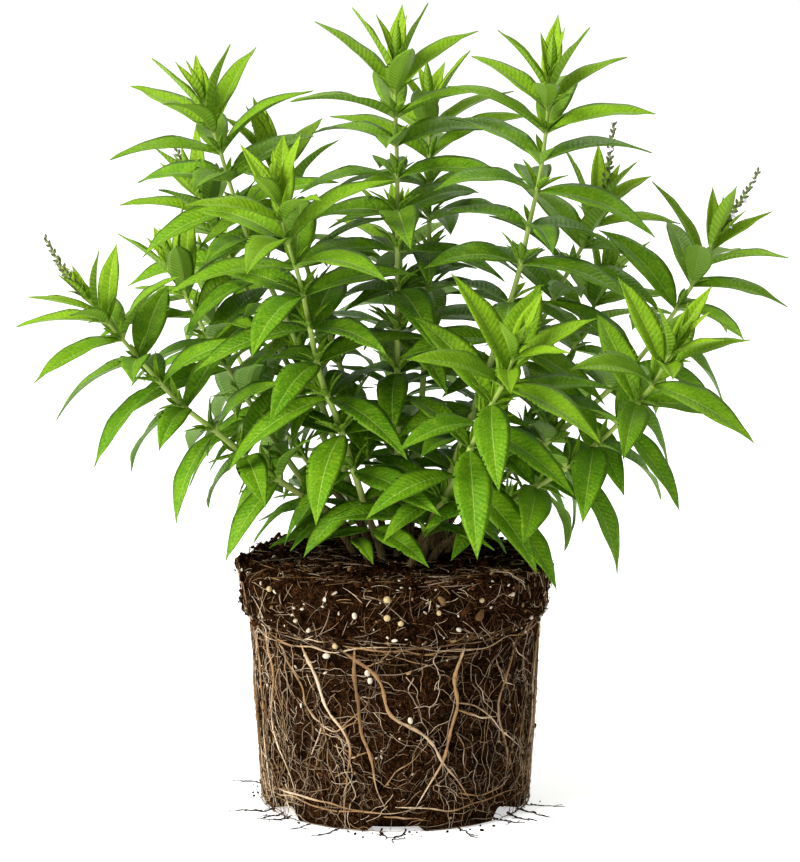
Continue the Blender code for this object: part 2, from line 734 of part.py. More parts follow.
def notch(angle):
    """0 to 1: how deep the drain notch is at an angle round the base. One notch faces the front."""
    pitch = 2 * math.pi / NOTCH_COUNT
    off = (angle + math.pi / 2 + pitch / 2) % pitch - pitch / 2
    return max(0.0, math.cos(off / NOTCH_HALF_ANGLE * math.pi / 2)) if abs(off) < NOTCH_HALF_ANGLE else 0.0


def soil_relief(x, y, z):
    """Moves a point of the turned soil: lumps on top and on the rim, pits in the side, notches at the base."""
    radius, angle = math.hypot(x, y), math.atan2(y, x)
    if radius < 1e-6:
        return x, y, z + (TOP_LUMPS * 0.5 if z > STEP_TOP else 0.0)
    lump = noise.noise(Vector((x, y, z)) / COARSE_LUMP) + 0.5 * noise.noise(Vector((x, y, z)) / FINE_LUMP)
    if z > SOIL_TOP - TOP_BAND:
        z += TOP_LUMPS * lump + TOP_MOUND * (1 - (radius / RIM_RADIUS) ** 2)
        inward = max(0.0, RIM_LUMPS * lump) if radius > RIM_RADIUS - RIM_BAND else 0.0
    elif z > STEP_FOOT:
        inward = RIM_LUMPS * (0.5 + 0.5 * lump)
    elif z > BASE_CHAMFER:
        inward = SIDE_PITS * (0.5 + 0.5 * max(-1.0, min(1.0, lump)))
    else:
        inward = 0.0
        depth = notch(angle)
        if radius > BASE_FLAT_RADIUS + 1:
            z += NOTCH_HEIGHT * depth
            inward = NOTCH_DEPTH * depth
    scale = (radius - inward) / radius
    return x * scale, y * scale, z


def soil_profile():
    """The soil's outline at +X, from the middle of the top down its side to the middle of the base."""
    profile = [(0.0, SOIL_TOP)] + [(r, SOIL_TOP) for r in TOP_RINGS]
    profile += [(RIM_RADIUS, SOIL_TOP), (ball_radius(118.0), 118.0), (RIM_FOOT_RADIUS, STEP_TOP)]
    for k in range(SIDE_ROWS + 1):
        z = STEP_FOOT + (BASE_CHAMFER - STEP_FOOT) * k / SIDE_ROWS
        profile.append((ball_radius(z), z))
    profile += [(BODY_BASE_RADIUS - 1.5, 0.0), (BASE_FLAT_RADIUS, 0.0), (0.0, 0.0)]
    return profile


def build_soil(home, cutters, finish):
    """The soil: a turned outline with its surface moved by soil_relief, less the stems' holes."""
    mesh = bpy.data.meshes.new("soil_ball")
    profile = soil_profile()
    edges = [(k, k + 1) for k in range(len(profile) - 1)]
    mesh.from_pydata([(r * MM, 0, z * MM) for r, z in profile], edges, [])
    drawn = bpy.data.objects.new("soil_ball", mesh)
    home.objects.link(drawn)
    screw = drawn.modifiers.new("turn", "SCREW")
    screw.steps = screw.render_steps = SOIL_STEPS
    screw.use_merge_vertices = True
    screw.merge_threshold = MERGE_DISTANCE
    body = as_mesh(drawn, home)
    for vertex in body.data.vertices:
        moved = soil_relief(*(c / MM for c in vertex.co))
        vertex.co = [c * MM for c in moved]
    outward(body.data)
    for shoot in SHOOTS:
        hole(shoot, cutters)
    cut = body.modifiers.new("stem_holes", "BOOLEAN")
    cut.operation = "DIFFERENCE"
    cut.operand_type = "COLLECTION"
    cut.collection = cutters
    cut.solver = "EXACT"
    body.data.materials.clear()
    body.data.materials.append(finish)
    return body


def hole(shoot, cutters):
    """A cutter for the plain hole that one stem stands in."""
    radius = (BASE_STEM_RADIUS + HOLE_CLEARANCE) / math.cos(math.pi / HOLE_SIDES)
    mesh = bpy.data.meshes.new(shoot.name + "_hole")
    work = bmesh.new()
    bmesh.ops.create_cone(
        work, cap_ends=True, segments=HOLE_SIDES, radius1=radius * MM, radius2=radius * MM,
        depth=HOLE_CUTTER_LENGTH * MM,
    )
    x, y, _ = shoot.points[0]
    bmesh.ops.translate(work, verts=work.verts, vec=(x * MM, y * MM, (HOLE_FLOOR + HOLE_CUTTER_LENGTH / 2) * MM))
    work.to_mesh(mesh)
    work.free()
    cutter = bpy.data.objects.new(shoot.name + "_hole", mesh)
    cutter.hide_render = True
    cutter.display_type = "WIRE"
    cutters.objects.link(cutter)


# Main roots on the side that faces the viewer: degrees round the ball (0 is the front) and height, top to bottom
FRONT_ROOTS = (
    (1.5, [(-16, 99), (-16, 84), (-15, 66), (-11, 44), (-8, 26), (-4, 13)]),
    (1.2, [(-40, 99), (-34, 84), (-30, 70), (-22, 55), (-19, 40), (-22, 13)]),
    (1.4, [(-22, 99), (-8, 86), (-2, 66), (12, 52), (20, 38), (28, 24), (34, 13)]),
    (1.4, [(28, 99), (24, 82), (25, 66), (22, 48), (16, 30), (8, 13)]),
    (0.9, [(56, 99), (50, 78), (46, 58), (54, 36), (50, 13)]),
    (0.9, [(-64, 99), (-58, 76), (-62, 50), (-52, 30), (-46, 13)]),
)
FRONT_BRANCHES = (
    (0.9, [(25, 66), (36, 60), (46, 58)]),
    (0.8, [(-22, 55), (-15, 62)]),
    (0.8, [(-19, 40), (-11, 44)]),
)
BACK_ROOT_COUNT = 7
BACK_ROOT_RADIUS = 1.0


def on_ball(degrees, z, radius):
    """A point that lies on the ball's side with a small gap, for a root of this radius."""
    angle = math.radians(degrees) - math.pi / 2
    out = ball_radius(z) + radius + ROOT_GAP
    return Vector((out * math.cos(angle), out * math.sin(angle), z))


def root_path(turns, radius):
    """A root laid down the ball's side through (degrees, height) pairs."""
    flat = [Vector((d, z, 0)) for d, z in turns]
    reach = sum((b - a).length for a, b in zip(flat, flat[1:]))
    line, _ = spline(flat, max(3, round(reach / ROOT_STEP)))
    return [on_ball(p.x, p.y, radius) for p in line]


def build_roots(home, finish):
    """The visible roots: two that circle the ball, and those that run down between them, as one net."""
    turns = [360 * k / RING_SEGMENTS for k in range(RING_SEGMENTS)]
    rings = []
    for height in (UPPER_RING_Z, LOWER_RING_Z):
        rings.append([(d, height + RING_WAVE * math.sin(math.radians(3 * d))) for d in turns])
    pieces = collection("root_pieces")
    body = ring_tube("root_net", rings[0], home)
    ring_tube("ring", rings[1], pieces)
    for radius, turn in (*FRONT_ROOTS, *FRONT_BRANCHES):
        line = root_path(turn, radius)
        tube("root", line, [radius] * len(line), pieces, resolution=0)
    rng = random.Random(ROOT_SEED)
    for k in range(BACK_ROOT_COUNT):
        start = 90 + 180 * k / (BACK_ROOT_COUNT - 1)
        turn = [(start, UPPER_RING_Z)]
        for z in (76, 52, 30):
            turn.append((start + rng.uniform(-11, 11), z))
        turn.append((start + rng.uniform(-8, 8), LOWER_RING_Z))
        radius = BACK_ROOT_RADIUS * rng.uniform(0.85, 1.3)
        line = root_path(turn, radius)
        tube("root", line, [radius] * len(line), pieces, resolution=0)
    thin(body, unite(body, pieces), ROOT_CORNERS)
    body.data.materials.clear()
    body.data.materials.append(finish)
    return body


def ring_tube(name, turns, home):
    """A root that circles the ball, as a closed curve with a bevel."""
    curve = bpy.data.curves.new(name, "CURVE")
    curve.dimensions = "3D"
    curve.bevel_depth = RING_RADIUS * MM
    curve.bevel_resolution = 0
    path = curve.splines.new("POLY")
    path.use_cyclic_u = True
    path.points.add(len(turns) - 1)
    for knot, (degrees, z) in zip(path.points, turns):
        knot.co = (*(on_ball(degrees, z, RING_RADIUS) * MM), 1)
    drawn = bpy.data.objects.new(name, curve)
    home.objects.link(drawn)
    return as_mesh(drawn, home)


def main():
    for old in list(bpy.data.objects):
        bpy.data.objects.remove(old)
    home = collection("lemon_verbena")
    cutters = collection("cutters")
    soil = material("soil", (0.030, 0.018, 0.011), 0.95)
    root = material("root", (0.36, 0.21, 0.11), 0.8)
    leaf = material("leaf", (0.10, 0.26, 0.025), 0.45)
    build_soil(home, cutters, soil)
    build_roots(home, root)
    plan = plan_leaves()
    for shoot in SHOOTS:
        build_shoot(shoot, plan[shoot.name], home, leaf)


main()
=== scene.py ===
"""A lemon verbena lifted from its pot: the leaves, stems, flowers, roots and soil as a studio picture shows them.

The part's own frame is kept: metres, +Z up, the origin at the middle of the root ball's flat base, and -Y
towards the viewer. Lengths here are in millimetres until a mesh is made.
"""

import logging
import math
import random
from collections.abc import Callable, Iterator
from dataclasses import dataclass, field
from enum import Enum

import bpy
import numpy as np
from mathutils import Matrix, Vector
from mathutils.bvhtree import BVHTree


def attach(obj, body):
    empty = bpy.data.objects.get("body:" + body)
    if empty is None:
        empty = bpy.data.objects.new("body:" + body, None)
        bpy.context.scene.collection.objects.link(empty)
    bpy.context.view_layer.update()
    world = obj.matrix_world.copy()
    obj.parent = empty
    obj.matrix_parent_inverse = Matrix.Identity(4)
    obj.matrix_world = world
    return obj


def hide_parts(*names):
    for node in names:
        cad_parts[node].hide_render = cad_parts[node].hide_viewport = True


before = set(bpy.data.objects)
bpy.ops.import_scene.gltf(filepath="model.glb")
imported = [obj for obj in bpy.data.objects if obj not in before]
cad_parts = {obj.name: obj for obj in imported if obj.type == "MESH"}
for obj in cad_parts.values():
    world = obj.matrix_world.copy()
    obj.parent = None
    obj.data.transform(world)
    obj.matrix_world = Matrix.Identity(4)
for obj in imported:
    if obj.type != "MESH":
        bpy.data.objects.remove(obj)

log = logging.getLogger("lemon_verbena")
Array = np.ndarray
MM = 0.001
UP = Vector((0, 0, 1))
RIGHT = Vector((1, 0, 0))


class Grade(Enum):
    """How finely a blade is planned: the stations along its midrib where its outline is tested."""

    LARGE = (0.27, 0.52, 0.78)
    PLAIN = (0.36, 0.7)
    SMALL = (0.42,)


class Slot(Enum):
    """The record's material slots."""

    SOIL = "soil"
    ROOT = "root"
    LEAF = "leaf"


@dataclass(frozen=True)
class BallSizes:
    """The root ball, as a 17 cm nursery pot moulded it."""

    rim_radius: float = 82.5
    rim_foot_radius: float = 80.2
    body_top_radius: float = 76.5
    body_base_radius: float = 71.0
    top: float = 130.0
    step_top: float = 106.0
    step_foot: float = 102.0
    chamfer: float = 5.0
    flat_radius: float = 58.0
    notch_count: int = 6
    notch_half_angle: float = math.radians(13)
    notch_height: float = 8.0
    notch_depth: float = 2.5


@dataclass(frozen=True)
class StemSizes:
    """A stem's thickness and the holes that the stems stand in."""

    foot: float = 115.8
    base_radius: float = 2.3
    low_radius: float = 1.9
    tip_radius: float = 0.8
    taper: float = 1.6
    stretch: float = 27.0
    collar: float = 22.0
    samples: int = 240
    spline_steps: int = 24


@dataclass(frozen=True)
class LeafSizes:
    """A full-grown leaf and the room that it claims."""

    length: float = 63.0
    width_share: float = 0.31
    rise: float = 0.85
    fall: float = 1.25
    thickness: float = 1.1
    stalk: float = 0.7
    foot_depth: float = 0.45
    margin: float = 1.3
    large_from: float = 62.0
    small_under: float = 27.0
    whole_from: float = 0.05
    outer_from: float = 0.2
    tip_turn: float = 0.35
    full_turn_whorl: int = 4
    skyward: float = 0.6
    edge_on: float = 0.15
    least_arch: float = 6.0
    open_whorls: int = 2
    low_whorls: int = 5
    low_gap: float = 17.0
    bare_foot: float = 26.0
    last_low_whorl: int = 9
    turn_draw: float = 9.0
    tilt_draw: float = 7.0
    roll_draw: float = 14.0
    arch_draw: float = 9.0
    sweep_draw: float = 0.07
    length_draw: tuple = (0.9, 1.08)
    low_length_draw: tuple = (0.65, 1.0)
    whorl_turn: float = 60.0
    seed: int = 1405


@dataclass(frozen=True)
class BladeForm:
    """How a blade's mesh is cut and shaped. Depths are in millimetres, and the rest are shares of the blade."""

    across: tuple = (-1, -0.66, -0.2, 0, 0.2, 0.66, 1)
    across_small: tuple = (-1, -0.5, 0, 0.5, 1)
    stalk_rows: tuple = (0.0, 0.02, 0.05)
    stalk_end: float = 0.08
    blade_share: float = 0.9
    last_row: float = 0.992
    row_gap: float = 4.0
    least_rows: int = 5
    quilted_over: float = 45.0
    vein_counts: tuple = (4, 20)
    shear: tuple = (0.085, 0.12)
    shear_from: float = 0.2
    twist: float = 0.12
    more_fold: float = 0.13
    unfold: float = 0.4
    young_widths: tuple = (0.8, 0.84, 0.93)
    full_size: float = 50.0
    quilt: float = 0.22
    edge_roll: float = 0.10
    long_wave: float = 0.36
    short_wave: float = 0.16
    right_bends: tuple = (2.1, 3.7)
    left_bends: tuple = (1.9, 3.9)
    groove: float = 0.25
    groove_width: float = 0.06
    thick: float = 0.34
    keel: float = 0.5
    keel_width: float = 0.1
    keel_taper: float = 0.7
    foot_sink: float = 0.2
    # Painted shade: leaves turn deep green the nearer they lie to this middle, within these reaches, in millimetres
    shade_middle: tuple = (0.0, 0.0, 255.0)
    shade_reach: tuple = (185.0, 150.0, 185.0)
    shade_fall: float = 1.15


@dataclass(frozen=True)
class SpikeForm:
    """A flower spike: its stalk, its buds and how many of them are open. Lengths are in millimetres."""

    stalk_radii: tuple = (0.6, 0.35)
    bud_gap: float = 1.15
    bud_turn: float = math.radians(137.5)
    lean: float = 58.0
    less_lean: float = 24.0
    bud_length: float = 4.6
    less_length: float = 1.8
    length_draw: tuple = (0.8, 1.15)
    bud_radius: float = 1.0
    less_radius: float = 0.25
    open_share: float = 0.06
    petal_reach: float = 1.3
    lobe: float = 0.38


@dataclass(frozen=True)
class Strand:
    """One kind of fine root: its count, ranges of length and radius, draw of age, points, and sway in radians."""

    count: int
    length: tuple
    radius: tuple
    age: tuple
    steps: int
    curl: float


LONG_STRANDS = Strand(340, (35, 105), (0.16, 0.38), (1.2, 1.9), 30, 0.42)
RING_STRANDS = Strand(40, (30, 110), (0.22, 0.5), (2, 1.6), 36, 0.12)
BRANCHES = Strand(900, (8, 32), (0.13, 0.27), (1.2, 2.6), 10, 0.34)
FRONT_HAIRS = Strand(200, (5, 20), (0.14, 0.26), (1, 3), 8, 0.3)
ROOT_HAIRS = Strand(700, (3, 9), (0.1, 0.18), (1, 2), 5, 0.3)

@dataclass(frozen=True)
class Litter:
    """One kind of loose piece on the peat: its count, its least height, and how thick it lies.

    The weights are for the top, for the band under the rim, and for the body below the step.
    """

    count: int
    low: float
    weights: tuple


CRUMBS = Litter(3600, 6.0, (1.6, 1.5, 0.45))
FIBRES = Litter(1700, 92.0, (1.2, 2.2, 1.0))
GRAINS = Litter(330, 30.0, (1.3, 3.4, 0.9))

BALL = BallSizes()
STEM = StemSizes()
LEAF = LeafSizes()
BLADE = BladeForm()
SPIKE = SpikeForm()
# Where the light comes from that the leaves turn their faces to
LIGHT = Vector((-0.05, -0.62, 0.78))
# Leaves in a whorl, and the room round a flower spike, the soil and the floor that leaves keep out of
WHORL = 3
SPIKE_SPREAD = 4.5
SOIL_CLEAR_RADIUS = BALL.rim_radius + 2.5
SOIL_CLEAR_TOP = BALL.top + 4.0
FLOOR_CLEAR = 30.0


@dataclass
class Shoot:
    """One leafy stem: where it stands, the points it grows through, and how it carries its leaves."""

    name: str
    points: list
    nodes: int
    phase: float
    leaf: float = 1.0
    close: bool = False
    facing: float = 0.75
    spike: list = field(default_factory=list)


SHOOTS = [
    Shoot("leafy_stem_front_right", [(9, -19, 134), (13, -21, 146), (23, -26, 165), (31, -34, 181), (39, -46, 200),
          (48, -63, 224), (55, -74, 239), (59, -83, 250), (62, -92, 262)], 8, 20, 1.03, close=True),
    Shoot("leafy_stem_front_left", [(-7, -13, 134), (-10, -13, 146), (-17, -15, 165), (-22, -18, 182), (-27, -22, 203),
          (-35, -27, 221), (-42, -34, 248), (-47, -42, 279), (-53, -48, 299), (-57, -54, 317), (-61, -60, 338)],
          11, 75, 1.06, close=True),
    Shoot("leafy_stem_right", [(20, -9, 134), (26, -10, 143), (42, -13, 155), (60, -17, 166), (77, -21, 176),
          (101, -31, 196), (122, -43, 219), (137, -56, 242), (145, -65, 260)], 10, 15, 1.0, close=True),
    Shoot("leafy_stem_left", [(-15, -7, 134), (-21, -7, 145), (-37, -8, 160), (-66, -10, 178), (-98, -14, 206),
          (-117, -17, 222), (-136, -22, 246), (-150, -26, 263), (-161, -29, 277)], 10, 40, 0.9,
          spike=[(-168, -31, 286), (-174, -31, 295), (-181, -32, 308)]),
    Shoot("leafy_stem_upper_right", [(15, -4, 134), (18, -4, 148), (39, -7, 207), (57, -9, 261), (66, -10, 293),
          (71, -11, 319), (76, -12, 343), (79, -13, 371), (80, -14, 391)], 11, 30, 1.07),
    Shoot("leafy_stem_centre", [(1, 4, 134), (1, 5, 151), (1, 6, 199), (1, 7, 253), (1, 8, 306), (1, 9, 333),
          (0, 9, 363), (0, 10, 385), (0, 10, 396)], 11, 30, 1.05),
    Shoot("leafy_stem_upper_left", [(-14, 3, 134), (-18, 3, 149), (-36, 4, 205), (-55, 7, 253), (-75, 11, 295),
          (-87, 15, 329), (-96, 18, 360), (-101, 20, 374)], 11, 30, 1.03),
    Shoot("leafy_stem_far_right", [(28, 3, 134), (34, 4, 148), (62, 8, 178), (90, 11, 200), (116, 14, 222),
          (138, 19, 247), (155, 24, 271), (166, 27, 288), (171, 29, 300)], 10, 70, 0.95,
          spike=[(176, 29, 309), (184, 28, 321), (191, 27, 334)]),
    Shoot("leafy_stem_mid_left", [(-22, -1, 134), (-30, 1, 146), (-62, 8, 190), (-92, 16, 236), (-110, 22, 266),
          (-118, 26, 284)], 7, 30, 0.98),
    Shoot("leafy_stem_behind_centre", [(7, 17, 134), (9, 20, 148), (14, 31, 211), (17, 42, 263), (18, 52, 310),
          (18, 61, 352), (18, 64, 366)], 7, 15, 0.98),
    Shoot("leafy_stem_back_left", [(-5, 14, 134), (-8, 16, 149), (-24, 24, 212), (-45, 35, 275), (-59, 44, 316),
          (-68, 50, 343)], 7, 13, 0.96, spike=[(-73, 53, 352), (-76, 55, 362)]),
    Shoot("leafy_stem_back_right", [(20, 15, 134), (24, 18, 149), (56, 34, 210), (88, 54, 268), (104, 64, 296),
          (112, 70, 314)], 7, 100, 0.98, spike=[(114, 72, 326), (115, 73, 338), (117, 74, 352)]),
    Shoot("leafy_stem_far_left", [(-14, 12, 134), (-20, 17, 150), (-48, 40, 209), (-78, 60, 262), (-97, 74, 296),
          (-108, 82, 318)], 7, 65, 0.98, spike=[(-113, 85, 327), (-118, 88, 337)]),
    Shoot("leafy_stem_rear_left", [(-13, 24, 134), (-19, 29, 145), (-46, 58, 170), (-74, 88, 202), (-96, 110, 240),
          (-104, 118, 262)], 7, 45, 1.0),
    Shoot("leafy_stem_rear_right", [(23, 25, 134), (29, 30, 146), (56, 58, 172), (84, 86, 206), (106, 108, 242),
          (114, 114, 264)], 7, 20, 1.0),
    Shoot("leafy_stem_rear", [(4, 32, 134), (5, 36, 147), (5, 66, 184), (4, 96, 224), (3, 116, 264),
          (2, 124, 290)], 7, 35, 1.0),
]

# Distance from the tip to the first whorl of leaves and on from whorl to whorl
WHORL_GAPS = (2.5, 7.0, 9.0, 12.0, 15.0, 17.0, 19.0, 20.0, 21.0, 22.0, 22.0, 22.0)
# Share of the full leaf length, angle from the stem, arch and fold in degrees, whorl by whorl from the tip
WHORL_SIZE = (0.4, 0.66, 0.86, 1.0, 1.0, 1.0, 1.0, 1.0, 0.98, 0.95, 0.9, 0.85)
WHORL_ANGLE = (12, 26, 45, 56, 62, 67, 71, 75, 80, 85, 88, 90)
WHORL_ARCH = (7, 18, 32, 42, 46, 50, 52, 52, 52, 50, 50, 50)
WHORL_FOLD = (34, 28, 24, 20, 18, 16, 15, 14, 13, 12, 12, 12)
# Ways a leaf gives way to its neighbours: turn about the stem, angle from it, arch, and length share
GIVE_WAY = (
    (0, 0, 0, 1.0), (10, 4, 0, 1.0), (-10, 4, 0, 1.0), (0, -12, -6, 1.0), (0, 12, 8, 1.0), (18, -8, 0, 0.96),
    (-18, -8, 0, 0.96), (24, 10, 6, 0.95), (-24, 10, 6, 0.95), (0, -22, -14, 0.92), (0, 24, 12, 0.92),
    (30, -16, -8, 0.9), (-30, -16, -8, 0.9), (34, 4, 0, 0.82), (-34, 4, 0, 0.82), (12, -28, -20, 0.8),
    (-12, -28, -20, 0.8), (0, 0, 0, 0.72), (26, 0, 0, 0.66), (-26, 0, 0, 0.66), (0, -20, -20, 0.6),
)


@dataclass
class Leaf:
    """A folded, arched blade: its root, its own axes, its sizes in millimetres and its angles in radians."""

    root: Vector
    ahead: Vector
    face: Vector
    length: float
    arch: float
    fold: float
    sweep: float
    close: bool
    whorl: int = 0

    @property
    def across(self) -> Vector:
        """The direction across the blade."""
        return self.ahead.cross(self.face)

    @property
    def grade(self) -> Grade:
        """How finely the blade is planned."""
        if self.length < LEAF.small_under:
            return Grade.SMALL
        return Grade.LARGE if self.close and self.length >= LEAF.large_from else Grade.PLAIN

    def spine(self, u: float) -> tuple[Vector, Vector, Vector]:
        """Point, tangent and normal of the midrib, an arc, at a share u of the way to the tip."""
        turn = self.arch * u
        run = self.length * math.sin(turn) / self.arch
        sink = self.length * (1 - math.cos(turn)) / self.arch
        sideways = self.sweep * self.length * u * u
        point = self.root + self.ahead * run - self.face * sink + self.across * sideways
        tangent = self.ahead * math.cos(turn) - self.face * math.sin(turn)
        normal = self.face * math.cos(turn) + self.ahead * math.sin(turn)
        return point, tangent, normal

    def half_width(self, u: float) -> float:
        """Half the blade's width: a lance shape, u^rise (1-u)^fall, with a narrow stalk at its foot."""
        return float(lance(np.asarray(u), self.length))


def lance(u: Array, length: float) -> Array:
    """Half widths of a blade: u^rise (1-u)^fall scaled to its widest, and never under the stalk's.

    Args:
        u: Shares of the way to the tip.
        length: The blade's length.

    Returns:
        Half widths in millimetres, shaped as u.
    """
    widest = LEAF.rise / (LEAF.rise + LEAF.fall)
    peak = widest**LEAF.rise * (1 - widest) ** LEAF.fall
    share = np.maximum(u, 0.0) ** LEAF.rise * np.maximum(1 - u, 0.0) ** LEAF.fall / peak
    return np.maximum(0.5 * length * LEAF.width_share * share, LEAF.stalk * (1 - u))


class Plan:
    """Where every leaf stands: the same rule as the solids follow, so the blades lie where theirs do."""

    def spline(self, points: list, samples: int) -> tuple[list, float]:
        """Points evenly along a Catmull-Rom curve through the given ones, and its length."""
        given = [Vector(p) for p in points]
        ends = [given[0] * 2 - given[1], *given, given[-1] * 2 - given[-2]]
        dense = []
        for a, b, c, d in zip(ends, ends[1:], ends[2:], ends[3:]):
            for k in range(STEM.spline_steps):
                t = k / STEM.spline_steps
                dense.append(
                    0.5 * (2 * b + (c - a) * t + (2 * a - 5 * b + 4 * c - d) * t * t + (3 * b - a - 3 * c + d) * t**3)
                )
        dense.append(given[-1])
        return self.resample(dense, samples)

    def resample(self, line: list, count: int) -> tuple[list, float]:
        """The line again, as count + 1 points at even distances, and its length."""
        marks = [0.0]
        for a, b in zip(line, line[1:]):
            marks.append(marks[-1] + (b - a).length)
        total = marks[-1]
        found, span = [], 0
        for k in range(count + 1):
            goal = total * k / count
            while span < len(line) - 2 and marks[span + 1] < goal:
                span += 1
            share = (goal - marks[span]) / max(marks[span + 1] - marks[span], 1e-9)
            found.append(line[span].lerp(line[span + 1], min(share, 1.0)))
        return found, total

    def stem_rows(self, shoot: Shoot) -> list:
        """Where the solid stem has a section, from the foot of its hole to its tip."""
        start = Vector(shoot.points[0])
        curve, reach = self.spline(shoot.points, STEM.samples)
        count = max(5, round(reach / STEM.stretch))
        above = [self.frame_at(curve, k / count * (STEM.samples - 0.001))[0] for k in range(1, count + 1)]
        return [Vector((start.x, start.y, STEM.foot)), start, *above]

    def stem_line(self, shoot: Shoot) -> tuple[list, float]:
        """Points evenly along the solid stem, and its length."""
        return self.resample(self.stem_rows(shoot), STEM.samples)

    def stem_radius(self, share: float, height: float) -> float:
        """The stem's radius: a collar at the soil, then an even taper to the tip."""
        taper = STEM.low_radius + (STEM.tip_radius - STEM.low_radius) * share**STEM.taper
        collar = max(0.0, 1 - max(0.0, height - BALL.top) / STEM.collar)
        return taper + (STEM.base_radius - STEM.low_radius) * collar

    def frame_at(self, line: list, at: float) -> tuple[Vector, Vector]:
        """Point and direction of the stem at a fractional sample number."""
        low = min(int(at), len(line) - 2)
        point = line[low].lerp(line[low + 1], at - low)
        return point, (line[low + 1] - line[low]).normalized()

    def turned(self, vector: Vector, axis: Vector, angle: float) -> Vector:
        """The vector turned about the axis."""
        return Matrix.Rotation(angle, 3, axis) @ vector

    def candidate(self, shoot: Shoot, point: Vector, stem: Vector, radius: float, whorl: int, azimuth: float,
                  way: tuple, draws: list) -> Leaf:
        """One leaf at a node of the stem, with its foot inside the stem and its angles shifted by way.

        The six draws shift its turn, its angle and its roll, share out its length, and shift its arch and sweep.
        """
        turn, tilt, arch, share = way
        side = (RIGHT - stem * RIGHT.dot(stem)).normalized()
        outward = self.turned(side, stem, math.radians(azimuth + turn + draws[0]))
        angle = math.radians(WHORL_ANGLE[whorl] + tilt + draws[1])
        ahead = (stem * math.cos(angle) + outward * math.sin(angle)).normalized()
        turned_out = LEAF.tip_turn + (1 - LEAF.tip_turn) * min(1.0, whorl / LEAF.full_turn_whorl)
        lift = stem * (1 - LEAF.skyward * turned_out) + UP * (LEAF.skyward * turned_out)
        lift += LIGHT * (shoot.facing * turned_out)
        face = lift - ahead * lift.dot(ahead)
        if face.length < LEAF.edge_on:
            face = -outward - ahead * (-outward).dot(ahead)
        face.normalize()
        face = self.turned(face, ahead, math.radians(draws[2]))
        return Leaf(
            root=point + outward * (LEAF.foot_depth * radius),
            ahead=ahead,
            face=face,
            length=LEAF.length * shoot.leaf * WHORL_SIZE[whorl] * share * draws[3],
            arch=math.radians(max(LEAF.least_arch, WHORL_ARCH[whorl] + arch + draws[4])),
            fold=math.radians(WHORL_FOLD[whorl]),
            sweep=draws[5],
            close=shoot.close,
            whorl=whorl,
        )

    def proxy(self, leaf: Leaf, start: float) -> dict:
        """A fatter stand-in for the blade beyond a share of its length, to test against."""
        points = []
        stations = (start, *leaf.grade.value, 1.0)
        for u in stations:
            point, tangent, normal = leaf.spine(u)
            half = leaf.half_width(u) + LEAF.margin
            point = point + tangent * (LEAF.margin * (u == 1.0))
            lean = leaf.across * (half * math.cos(leaf.fold))
            rise = normal * (half * math.sin(leaf.fold))
            deep = normal * (LEAF.thickness + LEAF.margin)
            points += [point - lean + rise, point + normal * LEAF.margin, point + lean + rise, point - deep]
        faces = []
        last = len(stations) - 1
        for k in range(last):
            for a in range(4):
                b = (a + 1) % 4
                faces.append((4 * k + a, 4 * k + b, 4 * k + 4 + b, 4 * k + 4 + a))
        faces += [(3, 2, 1, 0), (4 * last, 4 * last + 1, 4 * last + 2, 4 * last + 3)]
        return self.boxed(points, faces)

    def boxed(self, points: list, faces: list) -> dict:
        """A stand-in's search tree, its box and its points."""
        low = [min(p[k] for p in points) for k in range(3)]
        high = [max(p[k] for p in points) for k in range(3)]
        return {"tree": BVHTree.FromPolygons(points, faces), "low": low, "high": high, "points": points}

    def tube_proxy(self, rows: list, radii: list) -> dict:
        """A fatter stand-in for a stem or a spike."""
        points, faces = [], []
        sides = 6
        for k, (centre, radius) in enumerate(zip(rows, radii)):
            ahead = (rows[min(k + 1, len(rows) - 1)] - rows[max(k - 1, 0)]).normalized()
            side = (RIGHT - ahead * RIGHT.dot(ahead)).normalized()
            other = ahead.cross(side)
            for s in range(sides):
                angle = 2 * math.pi * s / sides
                points.append(centre + side * (radius * math.cos(angle)) + other * (radius * math.sin(angle)))
            if k:
                for s in range(sides):
                    t = (s + 1) % sides
                    faces.append((sides * (k - 1) + s, sides * (k - 1) + t, sides * k + t, sides * k + s))
        return self.boxed(points, faces)

    def stem_proxies(self, shoot: Shoot, line: list) -> list:
        """Stand-ins for a stem and for its spike, if it has one."""
        rows = line[::8]
        radii = [self.stem_radius(k / (len(rows) - 1), row.z) + LEAF.margin for k, row in enumerate(rows)]
        made = [self.tube_proxy(rows, radii)]
        if shoot.spike:
            spike, _ = self.spline([line[-1], *shoot.spike], 8)
            made.append(self.tube_proxy(spike, [SPIKE_SPREAD] * len(spike)))
        return made

    def clear_of(self, mine: dict, others: list) -> bool:
        """True if the stand-in meets none of the others."""
        for other in others:
            if any(mine["low"][k] > other["high"][k] or other["low"][k] > mine["high"][k] for k in range(3)):
                continue
            if mine["tree"].overlap(other["tree"]):
                return False
        return True

    def clear_of_soil(self, mine: dict) -> bool:
        """True if the stand-in keeps out of the root ball and well above the floor."""
        for p in mine["points"]:
            if p.z < FLOOR_CLEAR or (p.z < SOIL_CLEAR_TOP and math.hypot(p.x, p.y) < SOIL_CLEAR_RADIUS):
                return False
        return True

